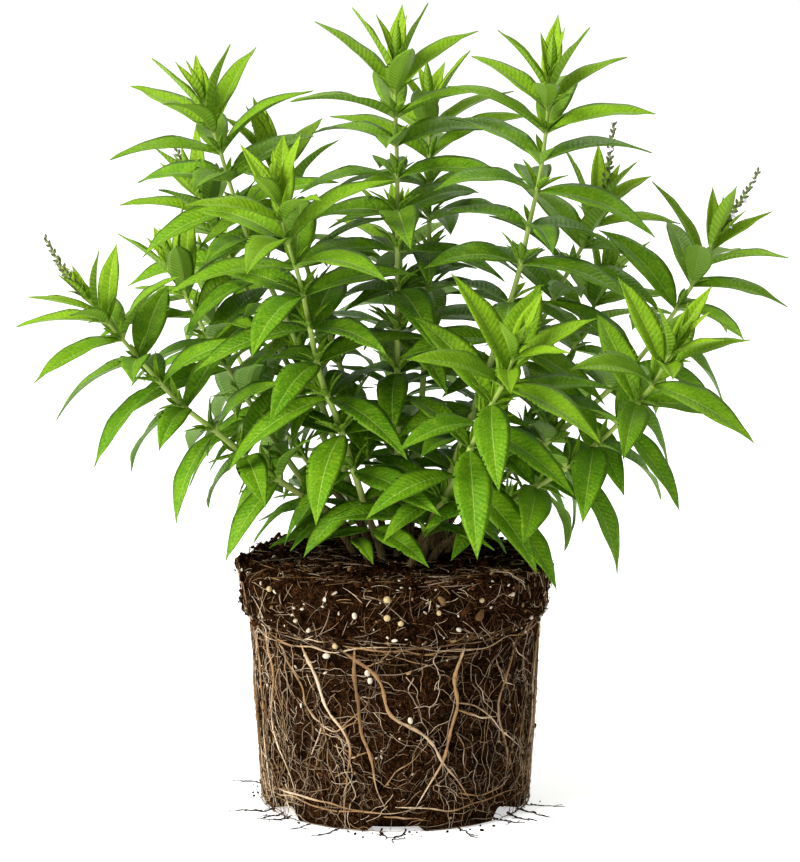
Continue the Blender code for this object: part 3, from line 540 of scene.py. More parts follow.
    def whorl(self, shoot: Shoot, line: list, back: float, number: int, low: bool, rng: random.Random,
              fits: Callable) -> Iterator:
        """Yields the leaves of one whorl, each in the first way in GIVE_WAY that fits.

        Args:
            shoot: The stem.
            line: Its line and its length.
            back: How far the whorl is from the stem's tip.
            number: The whorl's number from the tip.
            low: True for the small plain leaves low on a stem.
            rng: Random numbers, six of them for each leaf.
            fits: Says of a leaf's two stand-ins, whole and outer, whether it may stay.

        Yields:
            A leaf and its two stand-ins.
        """
        points, total = line
        point, stem = self.frame_at(points, (1 - back / total) * (len(points) - 1))
        radius = self.stem_radius(1 - back / total, point.z)
        lengths = LEAF.low_length_draw if low else LEAF.length_draw
        spreads = (LEAF.turn_draw, LEAF.tilt_draw, LEAF.roll_draw)
        for k in range(WHORL):
            azimuth = shoot.phase + LEAF.whorl_turn * number + 360 * k / WHORL
            draws = [rng.uniform(-spread, spread) for spread in spreads]
            draws.append(rng.uniform(*lengths))
            draws += [rng.uniform(-spread, spread) for spread in (LEAF.arch_draw, LEAF.sweep_draw)]
            for way in GIVE_WAY:
                kind = min(number, LEAF.last_low_whorl) if low else number
                leaf = self.candidate(shoot, point, stem, radius, kind, azimuth, way, draws)
                leaf.close = shoot.close and not low
                whole, outer = self.proxy(leaf, LEAF.whole_from), self.proxy(leaf, LEAF.outer_from)
                if self.clear_of_soil(outer) and fits(whole, outer):
                    yield leaf, whole, outer
                    break

    def leaves(self) -> dict[str, list[Leaf]]:
        """Each stem's leaves: each takes the first way in GIVE_WAY that is clear of all before it."""
        rng = random.Random(LEAF.seed)
        lines = {shoot.name: self.stem_line(shoot) for shoot in SHOOTS}
        stems = {shoot.name: self.stem_proxies(shoot, lines[shoot.name][0]) for shoot in SHOOTS}
        taken = {shoot.name: [] for shoot in SHOOTS}
        plan = {shoot.name: [] for shoot in SHOOTS}
        for shoot in SHOOTS:
            others = [p for n in stems if n != shoot.name for p in stems[n] + taken[n]]
            own = []
            back = 0.0
            for number in range(shoot.nodes):
                back += WHORL_GAPS[number]
                tests_own = number > LEAF.open_whorls

                def fits(whole: dict, outer: dict) -> bool:
                    """True if the leaf is clear of its own stem's leaves and of all other stems."""
                    return not (tests_own and not self.clear_of(outer, own)) and self.clear_of(whole, others)

                for leaf, whole, outer in self.whorl(shoot, lines[shoot.name], back, number, False, rng, fits):
                    plan[shoot.name].append(leaf)
                    own.append(outer)
                    taken[shoot.name].append(whole)
        self.low_leaves(plan, lines, stems, taken)
        return plan

    def low_leaves(self, plan: dict, lines: dict, stems: dict, taken: dict) -> None:
        """Adds the leaves of the lowest whorls, each where the first way in GIVE_WAY leaves it clear of all others.

        Args:
            plan: The leaves so far by stem, which this adds to.
            lines: The stems' lines and lengths.
            stems: The stems' stand-ins.
            taken: The stand-ins of all leaves so far, which this adds to.
        """
        rng = random.Random(LEAF.seed + 1)
        for shoot in SHOOTS:
            back = sum(WHORL_GAPS[: shoot.nodes])
            others = [p for n in stems if n != shoot.name for p in stems[n]] + [p for n in taken for p in taken[n]]
            for number in range(shoot.nodes, shoot.nodes + LEAF.low_whorls):
                back += LEAF.low_gap
                if back > lines[shoot.name][1] - LEAF.bare_foot:
                    break

                def fits(_: dict, outer: dict) -> bool:
                    """True if the leaf is clear of all others."""
                    return self.clear_of(outer, others)

                for leaf, whole, _ in self.whorl(shoot, lines[shoot.name], back, number, True, rng, fits):
                    plan[shoot.name].append(leaf)
                    others.append(whole)
                    taken[shoot.name].append(whole)


class LatticeNoise:
    """Smooth noise in space: random values on a cubic lattice, blended between its corners."""

    def __init__(self, seed: int, size: int = 32) -> None:
        """Draws the lattice."""
        self.size = size
        self.values = np.random.default_rng(seed).uniform(-1, 1, (size, size, size))

    def at(self, points: Array, scale: float) -> Array:
        """Noise between -1 and 1 at each point: trilinear blend with weights 3f^2 - 2f^3.

        Args:
            points: Points in millimetres, with x, y and z last.
            scale: The lattice's spacing in millimetres.

        Returns:
            One value for each point.
        """
        p = points / scale + 1000.0
        cell = np.floor(p).astype(int)
        f = p - cell
        w = f * f * (3 - 2 * f)
        found = 0.0
        for corner in np.ndindex(2, 2, 2):
            i, j, k = ((cell[..., a] + corner[a]) % self.size for a in range(3))
            weight = 1.0
            for a in range(3):
                weight = weight * (w[..., a] if corner[a] else 1 - w[..., a])
            found = found + weight * self.values[i, j, k]
        return found


class Surface:
    """Closed lofts gathered for one mesh: corners, faces, a UV and a tone of four numbers at each corner."""

    def __init__(self) -> None:
        """Starts empty."""
        self.points: list[Array] = []
        self.uv: list[Array] = []
        self.tone: list[Array] = []
        self.quads: list[Array] = []
        self.tris: list[Array] = []
        self.count = 0

    def add(self, rings: Array, start: Array, end: Array, uv: Array | None = None, tone: Array | None = None) -> None:
        """Adds closed lofts that all have the same rings, each with a pole at either end.

        Args:
            rings: N lofts of R rings of K corners, as (N, R, K, 3). Rings run clockwise as one looks along.
            start: The N poles before the first rings.
            end: The N poles after the last rings.
            uv: Spread to (N, R, K, 2).
            tone: Spread to (N, R, K, 4).
        """
        n, r, k, _ = rings.shape
        uv = np.broadcast_to(0.0 if uv is None else uv, (n, r, k, 2))
        tone = np.broadcast_to(0.0 if tone is None else tone, (n, r, k, 4))
        self.points.append(self.with_poles(rings, start, end))
        self.uv.append(self.with_poles(uv, uv[:, 0].mean(1), uv[:, -1].mean(1)))
        self.tone.append(self.with_poles(tone, tone[:, 0].mean(1), tone[:, -1].mean(1)))
        base = self.count + np.arange(n)[:, None, None] * (r * k + 2)
        i, j = np.arange(r - 1)[None, :, None], np.arange(k)[None, None, :]
        a, b = base + i * k + j, base + i * k + (j + 1) % k
        self.quads.append(np.stack([a, b, b + k, a + k], axis=-1).reshape(-1, 4))
        first, last, rim, pole = base[:, 0], base[:, 0] + (r - 1) * k, np.arange(k)[None], base[:, 0] + r * k
        after = (rim + 1) % k
        self.tris.append(np.stack([pole + 0 * rim, first + after, first + rim], axis=-1).reshape(-1, 3))
        self.tris.append(np.stack([pole + 1 + 0 * rim, last + rim, last + after], axis=-1).reshape(-1, 3))
        self.count += n * (r * k + 2)

    def with_poles(self, values: Array, start: Array, end: Array) -> Array:
        """The lofts' values in one row of corners: each loft's rings, then its two poles."""
        n, width = values.shape[0], values.shape[-1]
        flat = values.reshape(n, -1, width)
        return np.concatenate([flat, start.reshape(n, 1, width), end.reshape(n, 1, width)], axis=1).reshape(-1, width)

    def to_object(self, name: str, finishes: list, slot: Slot) -> bpy.types.Object:
        """Makes the mesh, dresses it and names what it rides on.

        Args:
            name: The object's name.
            finishes: Its materials.
            slot: Not used.

        Returns:
            The new object.
        """
        points, quads, tris = (np.concatenate(part) for part in (self.points, self.quads, self.tris))
        mesh = bpy.data.meshes.new(name)
        mesh.vertices.add(len(points))
        mesh.vertices.foreach_set("co", (points * MM).astype(np.float32).ravel())
        corners = np.concatenate([quads.ravel(), tris.ravel()])
        totals = np.concatenate([np.full(len(quads), 4), np.full(len(tris), 3)])
        mesh.loops.add(len(corners))
        mesh.loops.foreach_set("vertex_index", corners.astype(np.int32))
        mesh.polygons.add(len(totals))
        mesh.polygons.foreach_set("loop_start", (np.cumsum(totals) - totals).astype(np.int32))
        mesh.polygons.foreach_set("loop_total", totals.astype(np.int32))
        mesh.polygons.foreach_set("use_smooth", np.ones(len(totals), dtype=bool))
        mesh.update(calc_edges=True)
        layer = mesh.uv_layers.new(name="blade")
        layer.data.foreach_set("uv", np.concatenate(self.uv)[corners].astype(np.float32).ravel())
        tone = mesh.color_attributes.new("tone", "FLOAT_COLOR", "POINT")
        tone.data.foreach_set("color", np.concatenate(self.tone).astype(np.float32).ravel())
        for finish in finishes:
            mesh.materials.append(finish)
        made = bpy.data.objects.new(name, mesh)
        bpy.context.scene.collection.objects.link(made)
        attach(made, "root")
        log.info("%s: %d triangles", name, 2 * len(quads) + len(tris))
        return made


def toned(first: object, second: object = 0.0, third: object = 0.0, fourth: object = 1.0) -> Array:
    """The four numbers that a corner carries, spread to one shape."""
    return np.stack(np.broadcast_arrays(first, second, third, fourth), axis=-1)


def unit(vectors: Array) -> Array:
    """The vectors at length one."""
    return vectors / np.maximum(np.linalg.norm(vectors, axis=-1, keepdims=True), 1e-12)


def sweep_tubes(paths: Array, radii: Array, side: Array, sides: int, shape: Array | None = None) -> Array:
    """Rings of corners round paths: centre + radius (cos a A + sin a B), with A across the path and B = T x A.

    Args:
        paths: N paths of M points, as (N, M, 3).
        radii: Their radii, spread to (N, M).
        side: A direction off each path for the ring's first corner, spread to (N, M, 3).
        sides: Corners in a ring.
        shape: Factors on the radius round the ring, spread to (N, M, sides).

    Returns:
        Rings as (N, M, sides, 3).
    """
    tangent = unit(np.gradient(paths, axis=1))
    side = np.broadcast_to(side, paths.shape)
    a = unit(side - tangent * (side * tangent).sum(-1, keepdims=True))
    b = np.cross(tangent, a)
    angle = 2 * np.pi * np.arange(sides) / sides
    shape = np.ones(sides) if shape is None else shape
    reach = np.broadcast_to(radii, paths.shape[:2])[..., None] * shape
    around = np.cos(angle)[:, None] * a[:, :, None] + np.sin(angle)[:, None] * b[:, :, None]
    return paths[:, :, None] + reach[..., None] * around


def linear(colour: str) -> tuple[float, float, float, float]:
    """An sRGB hex colour as linear values, by the sRGB curve."""
    parts = [int(colour[k : k + 2], 16) / 255 for k in (1, 3, 5)]
    return (*(p / 12.92 if p <= 0.04045 else ((p + 0.055) / 1.055) ** 2.4 for p in parts), 1.0)


def add_node(tree: bpy.types.NodeTree, kind: str, inputs: dict | None = None, **settings: object) -> bpy.types.Node:
    """Adds a node with its settings, values and links.

    Args:
        tree: The material's node tree.
        kind: The node's type name without its ShaderNode prefix.
        inputs: Values or sockets by input name or number.
        settings: The node's own properties.

    Returns:
        The new node.
    """
    made = tree.nodes.new("ShaderNode" + kind)
    for name, value in settings.items():
        setattr(made, name, value)
    for key, value in (inputs or {}).items():
        if isinstance(value, bpy.types.NodeSocket):
            tree.links.new(value, made.inputs[key])
        else:
            made.inputs[key].default_value = value
    return made


class Finish:
    """A material under way: its node tree and the few steps that all finishes share."""

    def __init__(self, name: str) -> None:
        """Starts the material with a plain shader."""
        self.material = bpy.data.materials.new(name)
        self.material.use_nodes = True
        self.tree = self.material.node_tree
        self.shader = self.tree.nodes["Principled BSDF"]
        self.place = self.node("TexCoord").outputs["Object"]

    def node(self, kind: str, inputs: dict | None = None, **settings: object) -> bpy.types.Node:
        """Adds a node to this material."""
        return add_node(self.tree, kind, inputs, **settings)

    def math(self, operation: str, *values: object) -> bpy.types.NodeSocket:
        """The result of one sum."""
        return self.node("Math", dict(enumerate(values)), operation=operation).outputs[0]

    def ramp(self, value: object, low: float, high: float, to_low: float = 0.0,
             to_high: float = 1.0) -> bpy.types.NodeSocket:
        """The value moved from one range to another, with smooth ends."""
        inputs = {"Value": value, "From Min": low, "From Max": high, "To Min": to_low, "To Max": to_high}
        return self.node("MapRange", inputs, interpolation_type="SMOOTHSTEP").outputs["Result"]

    def mix(self, share: object, first: object, second: object) -> bpy.types.NodeSocket:
        """Two colours mixed by a share."""
        first, second = (linear(c) if isinstance(c, str) else c for c in (first, second))
        return self.node("Mix", {0: share, 6: first, 7: second}, data_type="RGBA").outputs[2]

    def noise(self, grain: float, detail: float = 2.0, stretch: tuple | None = None) -> bpy.types.NodeSocket:
        """Noise between 0 and 1 whose grains are about so many millimetres across."""
        spot = self.place
        if stretch:
            spot = self.node("Mapping", {"Vector": spot, "Scale": stretch}).outputs[0]
        inputs = {"Vector": spot, "Scale": 1 / (grain * MM), "Detail": detail}
        return self.node("TexNoise", inputs).outputs["Fac"]

    def tones(self) -> list:
        """The four numbers that each corner carries."""
        tone = self.node("Attribute", attribute_name="tone")
        split = self.node("SeparateColor", {0: tone.outputs["Color"]})
        return [*split.outputs[:3], tone.outputs["Alpha"]]

    def bump(self, height: object, distance: float, strength: float, after: object = None) -> bpy.types.NodeSocket:
        """A bump of so many millimetres, on top of another one if given."""
        inputs = {"Height": height, "Distance": distance * MM, "Strength": strength}
        if after is not None:
            inputs["Normal"] = after
        return self.node("Bump", inputs).outputs[0]

    def wear(self, colour: object, roughness: object, normal: object = None) -> bpy.types.Material:
        """Joins colour, roughness and normal to the shader."""
        for name, value in (("Base Color", colour), ("Roughness", roughness), ("Normal", normal)):
            if isinstance(value, bpy.types.NodeSocket):
                self.tree.links.new(value, self.shader.inputs[name])
            elif value is not None:
                self.shader.inputs[name].default_value = linear(value) if isinstance(value, str) else value
        return self.material


@dataclass(frozen=True)
class LeafFinish:
    """Lemon verbena leaf: thin, lance-shaped, quilted between sunk side veins, with a soft waxy light."""

    grown: str = "#4C7C10"
    deep: str = "#244C02"
    young: str = "#88AC1C"
    under: str = "#5C8624"
    rib: str = "#B0C468"
    speck: str = "#93B22C"
    dry: str = "#4A3C18"
    vein_mm: float = 3.0
    patch_mm: float = 9.0
    mottle_mm: float = 1.3
    pebble_mm: float = 0.95
    sheen_mm: float = 2.2
    quilt_depth_mm: float = 0.16
    pebble_depth_mm: float = 0.12
    vein_sharpness: float = 9.0
    sheen: float = 0.14
    sheen_tint: tuple = (0.75, 0.9, 0.5, 1.0)

    def make(self) -> bpy.types.Material:
        """Colour by age, painted shade on leaves deep in the plant with a random share, pale midrib, painted shade in
        the sunk veins on top and pale veins below, a painted highlight along the edge, brown tip, paler underside, fine
        pebbled skin.
        """
        f = Finish("verbena_leaf_skin")
        age, second_tone, along, upper = f.tones()
        uv = f.node("SeparateXYZ", {0: f.node("UVMap", uv_map="blade").outputs[0]})
        across, vein = uv.outputs[0], uv.outputs[1]
        off = f.math("ABSOLUTE", across)
        rib = f.ramp(off, 0.012, 0.045, 1.0, 0.0)
        wave = f.math("COSINE", f.math("MULTIPLY", vein, 2 * math.pi))
        line = f.math("POWER", f.math("MULTIPLY_ADD", wave, 0.5, 0.5), self.vein_sharpness)
        line = f.math("MULTIPLY", line, f.ramp(off, 0.8, 1.0, 1.0, 0.0))
        patch = f.noise(self.patch_mm, 3.0)
        # Painted shade: the second tone darkens leaves deep in the plant towards deep green, with a random share
        colour = f.mix(f.math("MULTIPLY", f.ramp(second_tone, 0.1, 1.0), 0.85), self.grown, self.deep)
        colour = f.mix(age, colour, self.young)
        colour = f.mix(f.ramp(patch, 0.35, 0.75, 0.0, 0.28), colour, self.young)
        puff = f.math("MULTIPLY_ADD", wave, -0.5, 0.5)
        mottle = f.noise(self.mottle_mm, 3.0)
        colour = f.mix(f.ramp(mottle, 0.5, 0.7, 0.0, 0.38), colour, self.speck)
        colour = f.mix(f.ramp(mottle, 0.28, 0.5, 0.35, 0.0), colour, self.deep)
        # Painted shade in the sunk side veins on the upper side
        colour = f.mix(f.math("MULTIPLY", line, 0.1), colour, self.deep)
        # A painted highlight: a pale band along the blade's edge
        colour = f.mix(f.ramp(off, 0.93, 1.0, 0.0, 0.4), colour, self.rib)
        colour = f.mix(f.math("MULTIPLY", rib, 0.5), colour, self.rib)
        below = f.mix(f.math("MULTIPLY", age, 0.5), self.under, self.young)
        below = f.mix(f.math("MULTIPLY", f.math("MAXIMUM", line, rib), 0.5), below, self.rib)
        colour = f.mix(f.ramp(upper, 0.25, 0.75), below, colour)
        tip = f.math("MULTIPLY", f.ramp(along, 0.965, 1.0), f.ramp(patch, 0.4, 0.6, 0.15, 0.9))
        colour = f.mix(tip, colour, self.dry)
        height = f.math("MULTIPLY_ADD", line, -0.8, puff)
        height = f.math("MULTIPLY", height, f.ramp(off, 0.7, 0.97, 1.0, 0.0))
        normal = f.bump(height, self.quilt_depth_mm, 0.6)
        skin = f.node("TexVoronoi", {"Vector": f.place, "Scale": 1 / (self.pebble_mm * MM)}, feature="SMOOTH_F1")
        normal = f.bump(skin.outputs["Distance"], self.pebble_depth_mm, 0.35, normal)
        rough = f.ramp(f.noise(self.sheen_mm), 0.3, 0.7, 0.38, 0.52)
        f.shader.inputs["Specular IOR Level"].default_value = self.sheen
        f.shader.inputs["Specular Tint"].default_value = self.sheen_tint
        return f.wear(colour, rough, normal)


@dataclass(frozen=True)
class StemFinish:
    """Verbena stem: light green and ribbed when young, woody and brown where it is old."""

    green: str = "#AABB66"
    bright: str = "#8FA944"
    bark: str = "#3E2C1B"
    pale_bark: str = "#72603A"
    streak_mm: float = 0.7

    def make(self) -> bpy.types.Material:
        """Green above, tan and then brown bark near the soil, with fine lengthwise streaks."""
        f = Finish("verbena_stem_bark")
        age, second_tone, _, _ = f.tones()
        streak = f.noise(self.streak_mm, 3.0, stretch=(1, 1, 0.12))
        colour = f.mix(streak, self.green, self.bright)
        old = f.mix(f.ramp(streak, 0.35, 0.65), self.bark, self.pale_bark)
        colour = f.mix(f.math("ADD", f.ramp(age, 0.55, 0.95), f.math("MULTIPLY_ADD", second_tone, 0.1, -0.05)), colour, old)
        f.shader.inputs["Specular IOR Level"].default_value = 0.2
        return f.wear(colour, f.ramp(age, 0.4, 0.95, 0.45, 0.8), f.bump(streak, 0.15, 0.5))


@dataclass(frozen=True)
class BudFinish:
    """Flower bud and petal: downy olive calyx with a purple-brown tip, or a thin white petal."""

    calyx: str = "#5F6C38"
    tip: str = "#3A2620"
    petal: str = "#EFEAF2"
    down_mm: float = 0.4

    def make(self) -> bpy.types.Material:
        """The first tone runs along a bud, and the second says that it is a petal."""
        f = Finish("verbena_flower")
        along, petal, _, _ = f.tones()
        colour = f.mix(f.ramp(along, 0.45, 1.0), self.calyx, self.tip)
        colour = f.mix(petal, colour, self.petal)
        return f.wear(colour, 0.7, f.bump(f.noise(self.down_mm), 0.08, 0.4))


@dataclass(frozen=True)
class PeatFinish:
    """Damp peat: nearly black between crumbs, rust brown on fibres, felted with old rootlets on the sides."""

    dark: str = "#0A0502"
    brown: str = "#1E1108"
    rust: str = "#5E3A20"
    felt: str = "#4E3722"
    straw: str = "#A08258"
    crumb_mm: float = 1.9
    dust_mm: float = 0.7
    fibre_mm: float = 0.9
    fleck_mm: float = 12.0
    felt_mm: float = 16.0
    hole_shade_mm: float = 7.0

    def make(self) -> bpy.types.Material:
        """Brown by crumb, rust in patches, a thin brown felt where the pot's wall was, and near-black patches painted
        as the shade in holes.
        """
        f = Finish("damp_peat")
        side, second_tone, _, _ = f.tones()
        crumb, dust = f.noise(self.crumb_mm, 4.0), f.noise(self.dust_mm, 3.0)
        colour = f.mix(f.ramp(crumb, 0.42, 0.6), self.dark, self.brown)
        fleck = f.math("MULTIPLY", f.ramp(dust, 0.54, 0.68), f.ramp(f.noise(self.fleck_mm), 0.35, 0.65, 0.2, 1.0))
        colour = f.mix(fleck, colour, self.rust)
        fibre = f.noise(self.fibre_mm, 3.0, stretch=(1.0, 1.0, 0.22))
        cover = f.math("MULTIPLY", side, f.ramp(f.noise(self.felt_mm, 3.0), 0.35, 0.75, 0.05, 0.8))
        colour = f.mix(f.math("MULTIPLY", cover, f.ramp(fibre, 0.52, 0.68, 0.0, 0.8)), colour, self.felt)
        # Painted shade: near-black patches where holes in the peat would lie in shade
        colour = f.mix(f.ramp(f.noise(self.hole_shade_mm), 0.56, 0.66, 0.0, 0.85), colour, self.dark)
        colour = f.mix(f.math("MULTIPLY", second_tone, 0.6), colour, self.rust)
        colour = f.mix(f.ramp(second_tone, 0.62, 0.9, 0.0, 0.8), colour, self.straw)
        rough = f.ramp(dust, 0.3, 0.8, 0.7, 0.98)
        normal = f.bump(dust, 0.5, 0.8, f.bump(crumb, 1.4, 0.8))
        f.shader.inputs["Specular IOR Level"].default_value = 0.0
        return f.wear(colour, rough, normal)


@dataclass(frozen=True)
class RootFinish:
    """Living roots: cream when young and fine, tan to golden brown when old, with damp peat clinging on."""

    cream: str = "#DCC6A8"
    tan: str = "#96754F"
    brown: str = "#452D1A"
    peat: str = "#190E07"
    grime_mm: float = 3.5
    skin_mm: float = 0.5

    def make(self) -> bpy.types.Material:
        """The first tone goes from cream to brown, and the second darkens with clinging peat."""
        f = Finish("living_root")
        age, dirt, _, _ = f.tones()
        colour = f.mix(f.ramp(age, 0.0, 0.5), self.cream, self.tan)
        colour = f.mix(f.ramp(age, 0.5, 1.0), colour, self.brown)
        grime = f.math("ADD", f.ramp(f.noise(self.grime_mm, 3.0), 0.5, 0.75, 0.0, 0.55), dirt)
        colour = f.mix(grime, colour, self.peat)
        f.shader.inputs["Specular IOR Level"].default_value = 0.1
        return f.wear(colour, 0.72, f.bump(f.noise(self.skin_mm, 3.0), 0.15, 0.6))


@dataclass(frozen=True)
class GrainFinish:
    """What is mixed into the peat: white perlite, which is puffed and chalky, and tan feed beads."""

    perlite: str = "#CFC4AE"
    bead: str = "#BFA878"
    shade: str = "#6E573E"
    stain_mm: float = 0.8

    def make(self) -> bpy.types.Material:
        """The first tone makes a grain a bead, and the second stains it with peat."""
        f = Finish("perlite_and_beads")
        bead, stain, _, _ = f.tones()
        speck = f.noise(self.stain_mm, 3.0)
        colour = f.mix(bead, self.perlite, self.bead)
        colour = f.mix(f.math("MULTIPLY", stain, f.ramp(speck, 0.3, 0.7)), colour, self.shade)
        return f.wear(colour, 0.75, f.bump(speck, 0.3, 0.6))


class Foliage:
    """The leafy stems: each stem, its leaves, the small leaves in their axils and its flowers as one piece."""

    def __init__(self) -> None:
        """Plans the leaves and makes the finishes."""
        self.plan = Plan()
        self.leaves = self.plan.leaves()
        self.finishes = [LeafFinish().make(), StemFinish().make(), BudFinish().make()]

    def build(self) -> None:
        """Makes one piece for each stem, each in place of its solid."""
        for number, shoot in enumerate(SHOOTS):
            rng = np.random.default_rng(3000 + number)
            blades, bark, bloom = Surface(), Surface(), Surface()
            for leaf in self.leaves[shoot.name]:
                self.blade(blades, leaf, rng)
            self.stem(bark, shoot, rng)
            for leaf in self.small_leaves(shoot, rng):
                self.blade(blades, leaf, rng)
            surfaces = [blades, bark]
            if shoot.spike:
                self.spike(bloom, bark, shoot, rng)
                surfaces.append(bloom)
            made = join_surfaces(shoot.name.replace("leafy_stem", "verbena_stem"), surfaces, self.finishes, Slot.LEAF)
            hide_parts(shoot.name)

    def blade(self, surface: Surface, leaf: Leaf, rng: np.random.Generator) -> None:
        """Adds one leaf blade as a thin closed lens.

        A corner lies at midrib(u) + s half(u) (across cos fold + normal |sin fold|), and u is sheared towards the
        tip with |s|, so that each row of corners runs along a side vein. Between veins the blade puffs up, and its
        edges roll under and wave. The underside lies a lens's thickness below, with the midrib as a keel.

        Args:
            surface: Where the blade goes.
            leaf: Its place and form.
            rng: The stem's random numbers.
        """
        top = BLADE.across if leaf.length >= LEAF.small_under else BLADE.across_small
        s = np.array([*top, *top[-2:0:-1]])
        under = np.arange(len(s)) >= len(top)
        off = np.abs(s)
        u, vein, quilted = self.blade_rows(leaf, off, rng)
        phases = rng.uniform(0, 2 * np.pi, 4)
        twist = rng.uniform(-BLADE.twist, BLADE.twist) * u * u
        fold = (leaf.fold + BLADE.more_fold) * (1 - BLADE.unfold * u)
        half = lance(u, leaf.length) * (BLADE.young_widths[leaf.whorl] if leaf.whorl < len(BLADE.young_widths) else 1.0)
        turn = leaf.arch * u
        ahead, face, across = (np.array(v) for v in (leaf.ahead, leaf.face, leaf.across))
        centre = (
            np.array(leaf.root)
            + ahead * (leaf.length * np.sin(turn) / leaf.arch)[..., None]
            - face * (leaf.length * (1 - np.cos(turn)) / leaf.arch)[..., None]
            + across * (leaf.sweep * leaf.length * u * u)[..., None]
        )
        normal = face * np.cos(turn)[..., None] + ahead * np.sin(turn)[..., None]
        lean = across * np.cos(twist)[..., None] + normal * np.sin(twist)[..., None]
        normal = normal * np.cos(twist)[..., None] - across * np.sin(twist)[..., None]
        size = min(1.0, leaf.length / BLADE.full_size)
        open_blade = np.clip((u - 0.06) / 0.1, 0, 1) * np.clip((1 - u) / BLADE.stalk_end, 0, 1)
        puff = -0.5 * np.cos(2 * np.pi * vein)[:, None] * float(quilted)
        rise = half * off * np.sin(fold) - BLADE.edge_roll * half * off**3
        rise += BLADE.quilt * size * puff * np.sin(np.pi * off) * open_blade
        rise += size * open_blade * off**2 * np.where(
            s > 0, self.edge_wave(u, BLADE.right_bends, phases[:2]), self.edge_wave(u, BLADE.left_bends, phases[2:])
        )
        rise -= BLADE.groove * size * open_blade * np.exp(-((off / BLADE.groove_width) ** 2))
        stalk = np.clip(1 - u / BLADE.stalk_end, 0, 1)
        keel = BLADE.keel * np.exp(-((off / BLADE.keel_width) ** 2)) * (1 - BLADE.keel_taper * u)
        depth = (BLADE.thick * (1 - off**4) + keel) * (0.5 + 0.5 * size)
        depth = depth * (1 - stalk) + 1.1 * LEAF.stalk * stalk * (1 - off**2)
        points = (
            centre
            + lean * (s * half * np.cos(fold))[..., None]
            + normal * (rise - np.where(under, depth, 0.0))[..., None]
        )
        tip = np.array(leaf.spine(1.0)[0])
        foot = np.array(leaf.root) - ahead * BLADE.foot_sink
        uv = np.stack(np.broadcast_arrays(s[None], vein[:, None]), axis=-1)
        upper = np.where(under, 0.0, np.where(off == 1, 0.5, 1.0))
        tone = self.blade_tone(leaf, u, centre, upper, rng)
        surface.add(points[None], foot[None], tip[None], uv[None], tone[None])

    def blade_rows(self, leaf: Leaf, off: Array, rng: np.random.Generator) -> tuple[Array, Array, bool]:
        """Where a blade's rows of corners lie.

        Args:
            leaf: The leaf.
            off: How far each corner of a row is from the midrib, as a share.
            rng: The stem's random numbers.

        Returns:
            Shares of the way to the tip by row and corner, the number of side veins up to each row, and whether
            there are two rows to a vein, so that the blade is quilted between them.
        """
        veins = int(np.clip(round(leaf.length / LeafFinish.vein_mm), *BLADE.vein_counts))
        quilted = leaf.close and leaf.length > BLADE.quilted_over
        steps = 2 * veins if quilted else max(BLADE.least_rows, round(leaf.length / BLADE.row_gap))
        vein = np.concatenate([[0, 0, 0], np.arange(steps + 1) * veins / steps])
        u = np.array([*BLADE.stalk_rows, *(BLADE.stalk_end + BLADE.blade_share * np.linspace(0, 1, steps + 1))])
        shear = rng.uniform(*BLADE.shear)
        u = u[:, None] + shear * off * (4 * u * (1 - u))[:, None] * np.clip(u / BLADE.shear_from, 0, 1)[:, None]
        return np.minimum(u, BLADE.last_row), vein, quilted

    def edge_wave(self, u: Array, bends: tuple, phases: Array) -> Array:
        """How far a blade's edge stands up or down: a long wave and a short one, each a sine of so many bends."""
        return BLADE.long_wave * np.sin(2 * np.pi * bends[0] * u + phases[0]) + BLADE.short_wave * np.sin(
            2 * np.pi * bends[1] * u + phases[1]
        )

    def blade_tone(self, leaf: Leaf, u: Array, centre: Array, upper: Array, rng: np.random.Generator) -> Array:
        """A blade's tones: how young it is, how much painted shade it gets for lying deep in the plant, with a random
        share, the way to the tip, and 1 on the upper side.
        """
        young = max(0.0, 1 - leaf.whorl / 4.5) ** 1.2 * 0.85 + rng.uniform(0, 0.16)
        young = min(young + 0.08 * float(np.clip((leaf.root.z - 200) / 180, 0, 1)), 1.0)
        reach = np.linalg.norm((centre - BLADE.shade_middle) / BLADE.shade_reach, axis=-1)
        shade = np.clip(1.0 - BLADE.shade_fall * reach + rng.uniform(-0.1, 0.3), 0, 1) * (1 - 0.8 * young)
        return toned(young, shade, u, upper[None])

    def stem(self, surface: Surface, shoot: Shoot, rng: np.random.Generator) -> None:
        """Adds the stem: a ribbed tube on a smooth curve, swollen at each whorl of leaves.

        Args:
            surface: Where the tube goes.
            shoot: The stem.
            rng: The stem's random numbers.
        """
        rows = self.plan.stem_rows(shoot)
        curve, total = self.plan.spline(rows, int(sum((b - a).length for a, b in zip(rows, rows[1:])) / 2.6))
        path = np.array([tuple(p) for p in curve])
        share = np.linspace(0, 1, len(path))
        radius = np.array([self.plan.stem_radius(t, p.z) for t, p in zip(share, curve)])
        back = total * (1 - share)
        for mark in np.cumsum(WHORL_GAPS[: shoot.nodes]):
            radius = radius * (1 + 0.2 * np.exp(-(((back - mark) / 1.5) ** 2)))
        sides = 9
        ribs = 1 + 0.05 * np.cos(3 * 2 * np.pi * np.arange(sides) / sides)
        rings = sweep_tubes(path[None], radius[None], np.array(RIGHT), sides, ribs)
        age = np.clip(1.25 - (path[:, 2] - 120) / 95, 0, 1)
        tone = toned(age[None, :, None], rng.uniform(0, 1))
        tip = path[-1] + (path[-1] - path[-2]) * 0.4
        surface.add(rings, path[:1], tip[None], tone=tone)

